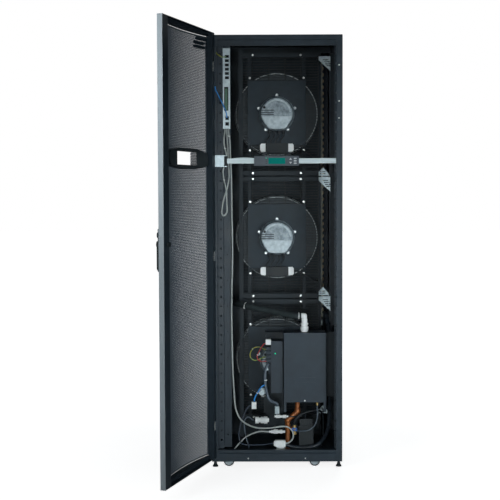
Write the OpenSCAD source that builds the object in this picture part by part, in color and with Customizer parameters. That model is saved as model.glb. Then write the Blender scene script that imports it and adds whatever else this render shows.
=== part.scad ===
// In row cooling unit for a data centre aisle: a floor-standing cabinet with three plug fans behind
// wire guards, a fin coil and air filters behind them, and a steam humidifier in its lower front.
// +X is to the right seen from the front, +Y runs from the front to the back, +Z is up.
// The origin is on the floor, at the middle of the frame.

/* [Cabinet] */
// Width over the corner posts
body_w = 600; // [580:5:700]
// Depth of the frame without its doors
frame_d = 1000; // [960:10:1200]
// Height of the frame's top above the floor
frame_h = 1983; // [1960:1:2100]
// Width of a corner post seen from the front
post_w = 28; // [24:1:34]
// Depth of a corner post along the side
post_d = 40; // [34:1:60]
// Thickness of the folded frame steel
steel_t = 2; // [1.5:0.1:3]
// Thickness of the side, roof and floor sheets
sheet_t = 1.5; // [1:0.1:2]
// Height of the skirt's lower edge above the floor
skirt_z = 32; // [30:1:40]
// Height of the skirt
skirt_h = 31; // [28:1:40]
// Height of the sill and of the lower side rails
sill_h = 22; // [18:1:30]
// Height of the top rails
top_rail_h = 48; // [44:1:60]
// Depth of the front and rear rails
rail_d = 30; // [24:1:36]

/* [Castors and feet] */
// Diameter of a castor wheel
wheel_d = 49; // [46:0.5:50]
// Width of a castor wheel
wheel_w = 20; // [16:1:24]
// Distance from the cabinet's middle to a castor's swivel axis
castor_x = 199.5; // [180:0.5:210]
// Distance from a swivel axis to the end of the frame
castor_inset = 55; // [52:1:80]
// Trail of a castor
castor_trail = 23.5; // [18:0.5:25]
// Diameter of a castor's axle
axle_d = 8; // [6:0.5:10]
// Diameter of a levelling foot
foot_d = 26; // [20:1:28]
// Gap below a levelling foot when the cabinet stands on its castors
foot_gap = 6; // [3:1:12]

/* [Front door] */
// Width of the front door
door_w = 597; // [577:1:697]
// Height of the door's lower edge above the floor
door_z = 53; // [40:1:60]
// Height of the door's upper edge above the top of the frame
door_rise = 8; // [0:1:14]
// Thickness of the door's edge
door_edge_t = 22.8; // [20:0.2:30]
// Rise of the bowed mesh over the door's edge
door_bow = 30; // [20:1:40]
// Gap between the frame and the closed door
door_gap = 6; // [5:0.5:8]
// Width of the door's bar at its free edge
free_bar_w = 58; // [50:1:64]
// Width of the door's bar at its hinges
hinge_bar_w = 30; // [26:1:34]
// Height of the door's end caps
door_cap_h = 18; // [14:1:24]
// Thickness of the door mesh
mesh_t = 1.6; // [1.2:0.1:2]
// Length, height and depth of the door's sensors
sensor_w = 95; // [60:1:160]
sensor_h = 13; // [8:0.5:14]
sensor_t = 7; // [4:0.5:10]
// Opening angle of the front door
door_open = 108.4; // [60:0.1:116]

/* [Fans] */
// Diameter of an impeller
impeller_d = 400; // [360:5:404]
// Distance of the fan column to the right of the middle
fan_x = 7; // [0:1:12]
// Diameter of a fan motor's casing
motor_d = 169; // [150:1:180]
// Height of a motor casing over its plate
motor_h = 46; // [38:1:52]
// Width of a motor plate
motor_plate_w = 279; // [270:1:290]
// Height of a motor plate
motor_plate_h = 309; // [290:1:330]
// Diameter of a fan shaft
shaft_d = 16; // [12:1:20]
// Number of blades of an impeller
blade_count = 7; // [5:1:9]
// Diameter of a guard wire
wire_d = 3; // [2.5:0.1:3.4]
// Distance between two guard wires
wire_pitch = 13; // [10:1:16]

/* [Coil] */
// Height of the coil
coil_h = 1290; // [1200:10:1320]
// Depth of the coil
coil_d = 180; // [140:10:200]
// Distance between two return bends
bend_pitch = 31.5; // [28:0.5:36]
// Diameter of a coil tube
tube_d = 10; // [8:1:12]

/* [Humidifier] */
// Width of the humidifier
humid_w = 197; // [180:1:200]
// Height of the humidifier without its legs
humid_h = 326; // [300:1:340]
// Depth of the humidifier
humid_d = 110; // [90:1:112]
// Height of the humidifier's legs
humid_leg = 46; // [30:1:50]

/* [Display] */
// Width of the display unit
display_w = 204; // [190:1:210]
// Height of the display unit
display_h = 44; // [40:1:48]
// Height of the display's middle above the floor
display_z = 1415; // [1400:1:1430]
// Height of the display arm
arm_h = 23; // [18:1:26]

/* [Hidden] */
$fn = 48;

half_w = body_w / 2;
half_d = frame_d / 2;
lip = 12;
skin_gap = 0.3;
run_gap = 0.05;
sill_z = skirt_z + skirt_h;
floor_z = sill_z + sill_h;
rail_z = frame_h - top_rail_h;
inner_x = half_w - post_w;
post_y = half_d - post_d;
black = "#26282b";
dark = "#1c1e20";
silver = "#c9cdd0";
white = "#e8eaea";

// Fan column: three equal modules between the lower and the upper seam
seam_z0 = floor_z + 81;
seam_z3 = rail_z + 7;
fan_pitch = (seam_z3 - seam_z0) / 3;
function fan_z(i) = seam_z3 - fan_pitch * (i - 0.5);
function seam_z(i) = seam_z0 + fan_pitch * i;
deck_y = -60;
deck_x0 = -176;
deck_x1 = 228;
plate_y = -209;
plate_t = 2.5;
plate_lift = 6;
fan_rail_x = 132;
fan_rail_w = 14;
fan_rail_y = plate_y + plate_t;
fan_rail_t = 3;
bar_y = fan_rail_y + fan_rail_t;
bar_d = 14;
bar_h = 22;
wire_y = bar_y + wire_d;
upright_y = wire_y + wire_d + 0.5;
guard_x0 = -155;
guard_x1 = 208;
wire_x0 = deck_x0 + sheet_t;
wire_x1 = guard_x1 - 1.5;
guard_hole = 190;
plate_screw_x = 129;
plate_screw_z = 172.5;
motor_screw_r = motor_d / 2 + 7.5;
rotor_y = -191;
rotor_r = 72;
rotor_len = 62;
eye_r = 126;
nozzle_r = 120;

// Coil behind the fan deck
coil_y0 = 30;
coil_x = 240;
coil_z1 = rail_z - 5;
coil_z0 = coil_z1 - coil_h;
right_strip_x = 268;

// Front door, drawn closed and then turned open about its hinge pins
door_y = -half_d - door_gap;
door_x0 = -half_w;
door_x1 = door_x0 + door_w;
door_z1 = frame_h + door_rise;
hinge_x = door_x0 + 9;
hinge_y = door_y - 9;
hinge_r = 4;
hinge_zs = [door_z + 150, (door_z + door_z1) / 2 - 40, door_z1 - 150];
hinge_notch = 44;
trim_t = 2;
bow_r = door_w * door_w / (8 * door_bow) + door_bow / 2;
bow_x = (door_x0 + door_x1) / 2;
bow_y = door_y - door_edge_t + bow_r - door_bow;
latch_x = door_x1 - 39;
latch_z = 1061;
window_x = 0;
window_w = 225;
window_h = display_h + 12;
shroud_x = -30;
shroud_w = 444;
shroud_h = 90;

// Display arm
pivot_x = -231;
pivot_y = -half_d + 15;
pivot_r = 5;
arm_y = -half_d + 8;
arm_t = 12;
case_t = 26;
case_y = -half_d + 2;

// Humidifier, power box and what hangs below them
humid_x = 34;
humid_y = -415;
humid_z0 = 291;
humid_z1 = humid_z0 + humid_h;
service_y = humid_y + humid_d;
service_t = 3;
nozzle_x = 132;
power_x = -26;
power_y = -395;
channel_x0 = -246;
channel_x1 = -209;
channel_y = -430;
castor_y = half_d - castor_inset;
wheel_z = wheel_d / 2;

// Routes of the cords: points on their middle lines
grey_cable_d = 7;
grey_cable_route = [[-219, -443, 1563.6], [-219, -446, 1548], [-212, -452, 1499], [-211, -452, 1444],
    [-208, -452, 1384], [-206, -448, 1300], [-205, -444, 1168], [-203, -442, 1007], [-206, -441, 844],
    [-208, -440, 720], [-207, -440, 588], [-204, -440, 448], [-200, -442, 369], [-194, -446, 288],
    [-185, -450, 250], [-165, -454, 216], [-130, -458, 193], [-86, -460, 180], [-31, -462, 180],
    [15, -462, 187], [45, -460, 186], [66, -456, 172], [76, -453, 148], [72, -450, 124], [54, -448, 108],
    [41, -448, 105]];
grey_hank_d = 7;
grey_hank_route = [[-236, -443, 1563.2], [-236, -444, 1550], [-239, -463, 1522], [-239, -465, 1493],
    [-231, -465, 1457], [-226, -465, 1430], [-230, -465, 1412], [-239, -465, 1390], [-245, -465, 1366],
    [-240, -464, 1328], [-230, -462, 1284], [-228, -460, 1240], [-227, -460, 1190], [-232, -462, 1174],
    [-243, -465, 1166], [-251, -465, 1180], [-247, -465, 1215], [-239, -463, 1250], [-228, -458, 1285],
    [-220, -456, 1320], [-217, -449, 1352],
    [-219.5, -444, 1400], [-221, -444, 1440], [-224, -444, 1500], [-227.5, -443, 1550], [-227.5, -443, 1563.2]];

module box(x0, x1, y0, y1, z0, z1) {
    translate([x0, y0, z0]) cube([x1 - x0, y1 - y0, z1 - z0]);
}
// Draws along -Y, towards the front, from the plane at y
module facing_front(x, y, z) {
    translate([x, y, z]) rotate([90, 0, 0]) children();
}
module four_corners() {
    for (sx = [0, 1], sy = [0, 1]) mirror([sx, 0, 0]) mirror([0, sy, 0]) children();
}
function unit(v) = v / norm(v);
function heading(p, i) = unit(p[min(i + 1, len(p) - 1)] - p[max(i - 1, 0)]);
function square_to(n, t) = unit(n - (n * t) * t);
function normals(p) = [for (i = 0, n = square_to([0.31, 0.83, 0.46], heading(p, 0)); i < len(p);
    i = i + 1, n = i < len(p) ? square_to(n, heading(p, i)) : n) n];
// A round cord swept along its route: one ring of points round each point of the route
module cord(route, d, sides = 8) {
    ns = normals(route);
    rings = [for (i = [0 : len(route) - 1], k = [0 : sides - 1])
        let (t = heading(route, i), a = 360 * k / sides)
        route[i] + d / 2 * (cos(a) * ns[i] + sin(a) * cross(t, ns[i]))];
    last = (len(route) - 1) * sides;
    walls = [for (i = [0 : len(route) - 2], k = [0 : sides - 1], half = [0, 1])
        let (a = i * sides + k, b = i * sides + (k + 1) % sides)
        half == 0 ? [a, a + sides, b] : [b, a + sides, b + sides]];
    caps = [[for (k = [0 : sides - 1]) k], [for (k = [sides - 1 : -1 : 0]) last + k]];
    polyhedron(rings, concat(walls, caps));
}

// ---- Cabinet ----

module post_profile() {
    polygon([[0, 0], [post_w, 0], [post_w, lip], [post_w - steel_t, lip], [post_w - steel_t, steel_t],
        [steel_t, steel_t], [steel_t, post_d], [0, post_d]]);
}
// Rail profiles: first value is the depth behind the frame's face, second the height
module top_rail_profile(h, t = steel_t) {
    polygon([[4, 0], [4, h - 23], [0, h - 21], [0, h], [rail_d, h], [rail_d, h - t], [t, h - t],
        [t, h - 20], [4 + t, h - 22], [4 + t, 0]]);
}
module sill_profile(h, t = steel_t) {
    polygon([[0, 0], [0, 7], [4, 9], [4, h], [rail_d, h], [rail_d, h - t], [4 + t, h - t],
        [4 + t, 8], [t, 6], [t, 0]]);
}
module along_x(x0, x1, y, z) {
    translate([x0, y, z]) rotate([90, 0, 90]) linear_extrude(x1 - x0) children();
}
module frame() {
    color(black) {
        four_corners() difference() {
            translate([-half_w, -half_d, sill_z]) linear_extrude(frame_h - sill_z) post_profile();
            box(-inner_x - steel_t - 1, -inner_x + 1, -half_d + steel_t, -half_d + lip + 1,
                latch_z - 28, latch_z + 16);
        }
        for (m = [0, 1]) mirror([0, m, 0]) {
            along_x(-inner_x, inner_x, -half_d, rail_z) top_rail_profile(top_rail_h);
            along_x(-inner_x, inner_x, -half_d, sill_z) sill_profile(sill_h);
        }
        for (m = [0, 1]) mirror([m, 0, 0]) {
            box(-half_w + steel_t, -inner_x - steel_t, -half_d + steel_t, half_d - steel_t,
                frame_h - post_w, frame_h);
            box(-half_w + steel_t, -inner_x - steel_t, -half_d + steel_t, half_d - steel_t,
                sill_z, floor_z);
            box(-half_w, -half_w + steel_t, -half_d + steel_t, half_d - steel_t, skirt_z, sill_z);
            box(-half_w + 0.5, -half_w + steel_t + 6, -half_d + steel_t, half_d - steel_t,
                sill_z - steel_t, sill_z);
        }
        for (m = [0, 1]) mirror([0, m, 0])
            box(-half_w, half_w, -half_d, -half_d + steel_t, skirt_z, sill_z);
        // Corner blocks with the threaded holes of the levelling feet
        four_corners() difference() {
            box(-half_w + steel_t, -inner_x, -half_d + steel_t, -post_y, sill_z - 13, sill_z);
            translate([-foot_x, -foot_y, sill_z - 14]) cylinder(d = stud_d + 2 * run_gap, h = 15);
        }
    }
}
foot_x = half_w - foot_d / 2 - 2;
foot_y = half_d - 20;
stud_d = 12;
module levelling_feet() {
    color("#303234") four_corners() translate([-foot_x, -foot_y, 0]) rotate_extrude()
        polygon([[0, foot_gap], [foot_d / 2, foot_gap], [foot_d / 2, foot_gap + 5],
            [foot_d / 2 - 3, foot_gap + 8], [stud_d / 2 + 2, foot_gap + 11], [stud_d / 2 + 2, foot_gap + 17],
            [stud_d / 2, foot_gap + 17], [stud_d / 2, sill_z - 0.3], [0, sill_z - 0.3]]);
}
// Slotted rails that stand behind the corner posts
rail_hole_pitch = 44.45;
module mounting_rail(w) {
    z0 = floor_z;
    z1 = frame_h - post_w;
    difference() {
        union() {
            box(-half_w + steel_t, -half_w + steel_t + w, -post_y, -post_y + steel_t, z0, z1);
            box(-half_w + steel_t, -half_w + 2 * steel_t, -post_y, -post_y + 30, z0, z1);
        }
        for (z = [z0 + 40 : rail_hole_pitch : z1 - 20])
            facing_front(-half_w + steel_t + w - 10, -post_y + steel_t + 1, z)
                translate([-4.5, -4.5, 0]) cube([9, 9, steel_t + 2]);
    }
}
module mounting_rails() {
    color(black) {
        mounting_rail(52);
        mirror([1, 0, 0]) mounting_rail(post_w + 4);
        // Vertical channel that carries the controller
        difference() {
            translate([0, 0, floor_z]) linear_extrude(frame_h - post_w - floor_z) polygon([
                [channel_x0 - 3, -post_y + 1], [channel_x0 + steel_t, -post_y + 1],
                [channel_x0 + steel_t, channel_y], [channel_x1, channel_y], [channel_x1, channel_y + 22],
                [channel_x1 - steel_t, channel_y + 22], [channel_x1 - steel_t, channel_y + steel_t],
                [channel_x0, channel_y + steel_t], [channel_x0, -post_y + 3], [channel_x0 - 3, -post_y + 3]]);
            for (z = [floor_z + 60 : 120 : rail_z - 420])
                facing_front((channel_x0 + channel_x1) / 2, channel_y + 3, z) cylinder(r = 3, h = 6);
        }
    }
}
// Lift-off side panel with two stiffening beads and two quarter-turn latches
module side_panel() {
    x0 = -half_w + 0.5;
    x1 = -half_w + steel_t;
    color(black) {
        difference() {
            box(x0, x1, -post_y, post_y, sill_z + 1, frame_h - 1);
            for (y = [-0.3, 0.3] * frame_d) translate([x0 - 1, y, frame_h - 70]) rotate([0, 90, 0]) cylinder(r = 14, h = 4);
            box(x0 - 1, x1 + 1, -post_y + 30, post_y - 30, frame_h / 2 - 0.75, frame_h / 2 + 0.75);
        }
        for (y = [-0.3, 0.3] * frame_d) translate([x0 + 0.3, y, frame_h - 70]) rotate([0, 90, 0]) difference() {
            cylinder(r = 13.7, h = 6);
            translate([-1.5, -9, -1]) cube([3, 18, 3]);
        }
        for (z = [frame_h * 0.3, frame_h * 0.7])
            box(x1, x1 + 12, -post_y + 60, post_y - 60, z - 15, z + 15);
    }
}
module side_panel_left() { side_panel(); }
module side_panel_right() { mirror([1, 0, 0]) side_panel(); }
pipe_r = 14;
stub_r = 11;
stub_l = 39;
pipe_x = 190;
pipe_y = coil_y0 + coil_d + 10 + pipe_r;
roof_slot_w = 160;
roof_slot_d = 70;
roof_slot_y = 320;
roof_bolt_x = 380;
roof_bolt_y = 300;
roof_bolt_r = 4;
module roof_panel() {
    color(black) difference() {
        union() {
            box(-half_w + 1, half_w - 1, -half_d + 1, half_d - 1, frame_h, frame_h + sheet_t);
            box(-half_w + 60, half_w - 60, -half_d + 60, half_d - 60, frame_h, frame_h + sheet_t + 3);
        }
        box(-half_w + 62, half_w - 62, -half_d + 62, half_d - 62, frame_h - 1, frame_h + 3);
        for (m = [0, 1]) mirror([m, 0, 0]) {
            box(-130 - roof_slot_w / 2, -130 + roof_slot_w / 2, roof_slot_y, roof_slot_y + roof_slot_d,
                frame_h - 1, frame_h + 10);
            translate([pipe_x, pipe_y, frame_h - 1]) cylinder(r = pipe_r + 10, h = 12);
            for (y = [-roof_bolt_y / 2, roof_bolt_y / 2]) translate([roof_bolt_x / 2, y - 150, frame_h - 1])
                cylinder(r = roof_bolt_r, h = 12);
        }
    }
}
module base_tray() {
    x = inner_x + steel_t;
    color(black) difference() {
        union() {
            box(-x, x, -half_d + rail_d, half_d - rail_d, sill_z, sill_z + sheet_t);
            for (m = [0, 1]) mirror([0, m, 0])
                box(-x, x, -half_d + rail_d, -half_d + rail_d + sheet_t, sill_z, sill_z + 12);
        }
        for (m = [0, 1]) mirror([m, 0, 0]) translate([130, roof_slot_y + 30, sill_z - 1]) cylinder(r = 30, h = 4);
    }
}

// ---- Castors ----

plate_h = 4;
race_h = 3.7;
crown_h = 3.8;
crown_z = sill_z - plate_h - race_h - 0.3 - crown_h;
leg_t = 2.5;
leg_gap = 2.5;
kingpin_d = 10;
// Four top plates: the front pair with races and kingpins, the rear pair with fixed forks
module castor_mounts() {
    color("#8a8e92") {
        four_corners() translate([-castor_x - 30, -castor_y - 30, sill_z - plate_h]) cube([60, 60, plate_h]);
        for (m = [0, 1]) mirror([m, 0, 0]) {
            translate([castor_x, -castor_y, sill_z - plate_h - race_h]) cylinder(r = 20, h = race_h + 0.5);
            translate([castor_x, -castor_y, crown_z + 0.3]) cylinder(d = kingpin_d, h = plate_h + race_h + 3);
            translate([castor_x, castor_y, 0]) rotate(90) {
                castor_fork(0, false);
                translate([0, 0, crown_z + 1]) cylinder(r = 17, h = sill_z - plate_h - crown_z - 0.5);
            }
        }
    }
}
// Fork with its legs on both sides of the wheel and its axle along Y
module castor_fork(trail, bored) {
    leg_y = wheel_w / 2 + leg_gap;
    difference() {
        union() {
            translate([0, 0, crown_z]) cylinder(r = 19, h = crown_h);
            for (m = [0, 1]) mirror([0, m, 0]) facing_front(0, -leg_y, 0) linear_extrude(leg_t) {
                polygon([[-16, crown_z + 1], [16, crown_z + 1], [-trail + 9, wheel_z - 2], [-trail - 9, wheel_z]]);
                translate([-trail, wheel_z]) circle(r = 9);
            }
            translate([-trail, leg_y + leg_t, wheel_z]) rotate([90, 0, 0])
                cylinder(d = axle_d, h = 2 * (leg_y + leg_t));
        }
        if (bored) translate([0, 0, crown_z - 1]) cylinder(d = kingpin_d + 2 * run_gap, h = crown_h + 2);
    }
}
module swivel_front(side) {
    color("#8a8e92") translate([side * castor_x, -castor_y, 0]) castor_fork(castor_trail, true);
}
module swivel_front_left() { swivel_front(-1); }
module swivel_front_right() { swivel_front(1); }
module wheel() {
    color("#b9bcbe") rotate([90, 0, 0]) translate([0, 0, -wheel_w / 2]) difference() {
        union() {
            cylinder(d = wheel_d - 10, h = wheel_w);
            translate([0, 0, -1.5]) cylinder(d = axle_d + 7, h = wheel_w + 3);
        }
        for (z = [-2, wheel_w - 3]) translate([0, 0, z]) difference() {
            cylinder(d = wheel_d - 16, h = 5);
            translate([0, 0, -1]) cylinder(d = axle_d + 7, h = 7);
        }
        translate([0, 0, -3]) cylinder(d = axle_d + 2 * run_gap, h = wheel_w + 6);
    }
    color("#1d1f20") rotate([90, 0, 0]) rotate_extrude() translate([wheel_d / 2 - 5, 0]) difference() {
        translate([0, -wheel_w / 2]) square([5, wheel_w]);
        for (m = [0, 1]) mirror([0, m]) translate([5, wheel_w / 2]) rotate(45) square([3, 3], center = true);
    }
}
module wheel_front_left() { translate([-castor_x - castor_trail, -castor_y, wheel_z]) wheel(); }
module wheel_front_right() { translate([castor_x - castor_trail, -castor_y, wheel_z]) wheel(); }
module wheel_rear_left() { translate([-castor_x, castor_y, wheel_z]) rotate(90) wheel(); }
module wheel_rear_right() { translate([castor_x, castor_y, wheel_z]) rotate(90) wheel(); }

// ---- Fans ----

// Bulkhead with an inlet nozzle for each fan and the channel at its left edge
module fan_deck() {
    top_z = frame_h - post_w;
    color("#3a3e42") {
        difference() {
            box(-half_w + steel_t + 0.5, deck_x1, deck_y, deck_y + steel_t, sill_z + sheet_t, top_z);
            for (i = [1 : 3]) facing_front(fan_x, deck_y + 3, fan_z(i)) cylinder(r = nozzle_r + 12, h = 6);
            box(-half_w, -inner_x - steel_t + 0.5, deck_y - 1, deck_y + 4, sill_z, floor_z);
            for (m = [0, 1], z = [frame_h * 0.3, frame_h * 0.7])
                box(-half_w, -half_w + steel_t + 12.5, deck_y - 1, deck_y + 4, z - 15.5, z + 15.5);
        }
        for (i = [1 : 3]) facing_front(fan_x, deck_y + steel_t, fan_z(i)) rotate_extrude() polygon([
            [nozzle_r + 12, 0], [nozzle_r + 12, 2], [nozzle_r + 6, 3.5], [nozzle_r + 2, 8], [nozzle_r + 1.5, 20],
            [nozzle_r, 20], [nozzle_r, 7.5], [nozzle_r + 4, 2], [nozzle_r + 9, 0]]);
        // Face strip left of the guards, and its ties past the impellers
        translate([0, 0, floor_z]) linear_extrude(top_z - floor_z) polygon([
            [deck_x0, rotor_y - 4], [deck_x0, plate_y - 6], [guard_x0, plate_y - 6], [guard_x0, plate_y - 6 + sheet_t],
            [deck_x0 + sheet_t, plate_y - 6 + sheet_t], [deck_x0 + sheet_t, rotor_y - 4]]);
        for (i = [0 : 3]) box(deck_x0, deck_x0 + sheet_t, rotor_y - 5, deck_y + 1,
            max(floor_z, seam_z(i) - 50), min(top_z, seam_z(i) + 50));
        // Cross member under the roof and the strip along the right panel
        box(-inner_x - steel_t, inner_x + steel_t, deck_y, deck_y + 30, top_z, frame_h);
        difference() {
            box(right_strip_x, half_w - steel_t - 0.5, deck_y, deck_y + steel_t, floor_z, top_z);
            for (z = [frame_h * 0.3, frame_h * 0.7])
                box(half_w - steel_t - 12.5, half_w, deck_y - 1, deck_y + 4, z - 15.5, z + 15.5);
        }
    }
}
module fan_rail(x) {
    difference() {
        box(x - fan_rail_w / 2, x + fan_rail_w / 2, fan_rail_y, fan_rail_y + fan_rail_t, seam_z0, seam_z3);
        for (z = [seam_z0 + 18 : 26 : seam_z3 - 18])
            box(x - 2.5, x + 2.5, fan_rail_y - 1, fan_rail_y + fan_rail_t + 1, z - 6, z + 6);
    }
}
// Two slotted rails and the six cross bars that join the three fan modules
module fan_rails() {
    color("#34383b") {
        for (s = [-1, 1]) fan_rail(fan_x + s * fan_rail_x);
        for (i = [1 : 3], z = [seam_z(3 - i) + 3, seam_z(4 - i) - 3 - bar_h]) difference() {
            along_x(guard_x0, guard_x1, bar_y, z) polygon([[0, 0], [0, bar_h], [bar_d, bar_h],
                [bar_d, bar_h - 1.5], [1.5, bar_h - 1.5], [1.5, 1.5], [bar_d, 1.5], [bar_d, 0]]);
            for (s = [-1, 1]) facing_front(fan_x + s * 115, bar_y + 3, z + bar_h / 2) cylinder(r = 3, h = 5);
        }
        box(wire_x1, guard_x1, bar_y, rotor_y - 4, seam_z0 + 3, seam_z3 - 3);
        // Ties from the cross bars back to the bulkhead
        for (z = [seam_z0 + 3, seam_z(1) - 3 - bar_h, seam_z(1) + 3, seam_z(2) - 3 - bar_h, seam_z(2) + 3,
            seam_z3 - 3 - bar_h])
            box(wire_x1, guard_x1, rotor_y - 5, deck_y, z + 2, z + bar_h - 2);
    }
}
// Horizontal wires, left out where the motor passes, carried by upright wires behind them
module fan_guard(i) {
    zc = fan_z(i);
    z0 = seam_z(3 - i) + 3 + bar_h;
    z1 = seam_z(4 - i) - 3 - bar_h;
    rows = floor((z1 - z0 - 6) / wire_pitch);
    first = (z0 + z1) / 2 - rows / 2 * wire_pitch;
    hole = guard_hole / 2;
    color("#15171a") {
        for (k = [0 : rows]) {
            z = first + k * wire_pitch;
            if (abs(z - zc) < hole) {
                translate([wire_x0, wire_y, z]) rotate([0, 90, 0]) cylinder(d = wire_d, h = fan_x - hole - wire_x0);
                translate([fan_x + hole, wire_y, z]) rotate([0, 90, 0])
                    cylinder(d = wire_d, h = wire_x1 - fan_x - hole);
            } else
                translate([wire_x0, wire_y, z]) rotate([0, 90, 0]) cylinder(d = wire_d, h = wire_x1 - wire_x0);
        }
        for (x = [fan_x - 117, fan_x + 117])
            translate([x, upright_y, z0]) cylinder(d = wire_d + 0.5, h = z1 - z0);
        for (x = [fan_x - 38, fan_x + 40], z = [z0, zc + hole])
            translate([x, upright_y, z]) cylinder(d = wire_d + 0.5, h = z == z0 ? zc - hole - z0 : z1 - z);
    }
}
module fan_guard_1() { fan_guard(1); }
module fan_guard_2() { fan_guard(2); }
module fan_guard_3() { fan_guard(3); }
module motor_plates() {
    color("#34393e") for (i = [1 : 3])
        facing_front(fan_x, plate_y + plate_t, fan_z(i)) difference() {
            translate([-motor_plate_w / 2, -motor_plate_h / 2 + plate_lift, 0]) linear_extrude(plate_t) difference() {
                square([motor_plate_w, motor_plate_h]);
                for (x = [8, motor_plate_w - 8], y = [8, motor_plate_h - 8]) translate([x, y]) circle(r = 2.5);
            }
            translate([0, 0, -1]) cylinder(r = 62, h = 6);
        }
}
// Motor casing with its raised arc, cooling slots, wiring cover and glands; local +Z faces the front
module fan_motor(i) {
    r = motor_d / 2;
    face = motor_h - 6;
    color(silver) facing_front(fan_x, plate_y, fan_z(i)) {
        difference() {
            union() {
                rotate_extrude() polygon([[0, 0], [r, 0], [r, 9], [r - 3, 12], [r - 4, face - 8],
                    [r - 9, face - 1], [r - 12, face], [0, face]]);
                linear_extrude(face + 3.5) intersection() {
                    difference() { circle(r = r - 16); circle(r = r - 24); }
                    translate([-r, 6]) square([2 * r, r]);
                }
                translate([0, 0, face - 1]) linear_extrude(5) polygon([[-56, -14], [60, -14], [66, -22],
                    [48, -62], [34, -71], [-34, -71], [-46, -62], [-62, -22]]);
                translate([0, 0, face - 2]) linear_extrude(4) difference() {
                    circle(r = r - 14);
                    translate([-r, -12]) square([2 * r, r + 12]);
                }
                for (a = [0 : 4]) rotate(90 + 72 * a) translate([motor_screw_r - 2, 0, 0]) cylinder(r = 8, h = 6);
            }
            for (y = [-6, 4, 14]) translate([-r - 1, y, face - 6]) cube([r - 14, 4.5, 12]);
            translate([-60, 30, face - 3]) cylinder(r = 7.5, h = 10);
        }
        translate([-60, 30, face - 3]) cylinder(r = 6, h = 5);
        for (x = [-36, -14, 10, 32]) translate([x, -r + 8, 14]) rotate([90, 0, 0]) cylinder(r = 6.5, h = 18);
        translate([0, 0, -plate_t - 12]) cylinder(r = 60, h = plate_t + 12.5);
        translate([0, 0, plate_y - rotor_y - rotor_len + 8]) cylinder(d = shaft_d, h = rotor_len - 8 - plate_y + rotor_y);
    }
}
module fan_motor_1() { fan_motor(1); }
module fan_motor_2() { fan_motor(2); }
module fan_motor_3() { fan_motor(3); }
// Backward-curved blades between a flat hub disc and a conical shroud, turning on the motor's shaft
module impeller(i) {
    r = impeller_d / 2;
    hub_t = 3;
    tip = 78;
    eye = 98;
    blade_r = 0.85 * r;
    color("#8d9296") facing_front(fan_x, rotor_y, fan_z(i)) mirror([0, 0, 1]) difference() {
        union() {
            cylinder(r = r, h = hub_t);
            rotate_extrude() polygon([[r, tip], [r + 2, tip - 4], [r + 2, tip + 1], [r - 2, tip + 3],
                [eye_r + 12, eye + 1], [eye_r + 3, eye + 6], [eye_r + 2, eye + 16], [eye_r, eye + 16],
                [eye_r, eye + 4], [eye_r + 8, eye - 3]]);
            intersection() {
                for (k = [0 : blade_count - 1]) rotate(k * 360 / blade_count) translate([0, 0, 1])
                    linear_extrude(eye + 4) blade_profile(112, r - 3, blade_r);
                rotate_extrude() polygon([[100, 1], [100, eye - 6], [eye_r + 4, eye], [r, tip + 1], [r, 1]]);
            }
            rotate_extrude() polygon([[0, 0], [rotor_r + 14, 0], [rotor_r + 14, hub_t], [rotor_r, hub_t + 6],
                [rotor_r, rotor_len - 8], [rotor_r - 8, rotor_len], [0, rotor_len]]);
        }
        translate([0, 0, -1]) cylinder(d = shaft_d + 2 * run_gap, h = rotor_len - 5);
        for (a = [0 : 5]) rotate(a * 60) translate([42, 0, rotor_len - 5]) cylinder(r = 4, h = 10);
    }
}
module blade_profile(r0, r1, bend) {
    intersection() {
        difference() { circle(r = r1); circle(r = r0); }
        translate([bend * 0.62, -bend * 0.5]) difference() { circle(r = bend + 1.5); circle(r = bend - 1.5); }
        square([r1, r1]);
    }
}
module impeller_1() { impeller(1); }
module impeller_2() { impeller(2); }
module impeller_3() { impeller(3); }
// Terminal block with two pale end caps on the lower edge of each motor plate
module fan_connectors() {
    for (i = [1 : 3]) facing_front(fan_x, plate_y, fan_z(i) + plate_lift - motor_plate_h / 2 - 13) {
        color("#2e3236") translate([-54, -20, 0]) linear_extrude(30) difference() {
            square([108, 42]);
            for (x = [0, 108], y = [0, 42]) translate([x, y]) rotate(45) square([6, 6], center = true);
        }
        for (s = [-1, 1]) color(silver) scale([s, 1, 1]) translate([54.3, -18, 2]) difference() {
            linear_extrude(26) polygon([[0, 0], [20, 0], [26, 7], [26, 31], [20, 38], [0, 38]]);
            for (y = [9, 21]) translate([6, y, 22]) cube([10, 7, 6]);
        }
    }
}

// ---- Coil and filters ----

fin_pitch = 12;
fin_t = 3;
module coil_fins() {
    color("#9aa0a4") {
        for (x = [-coil_x + 6 : fin_pitch : coil_x - 6]) box(x - fin_t / 2, x + fin_t / 2,
            coil_y0, coil_y0 + coil_d, coil_z0 + 2, coil_z1 - 2);
        for (m = [0, 1]) mirror([m, 0, 0])
            box(coil_x - 1.5, coil_x, coil_y0 - 10, coil_y0 + coil_d + 10, coil_z0, coil_z1);
        for (z = [coil_z0, coil_z1 - 2])
            box(-coil_x + 1.5, coil_x - 1.5, coil_y0 - 10, coil_y0 + coil_d + 10, z, z + 2);
    }
}
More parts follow.
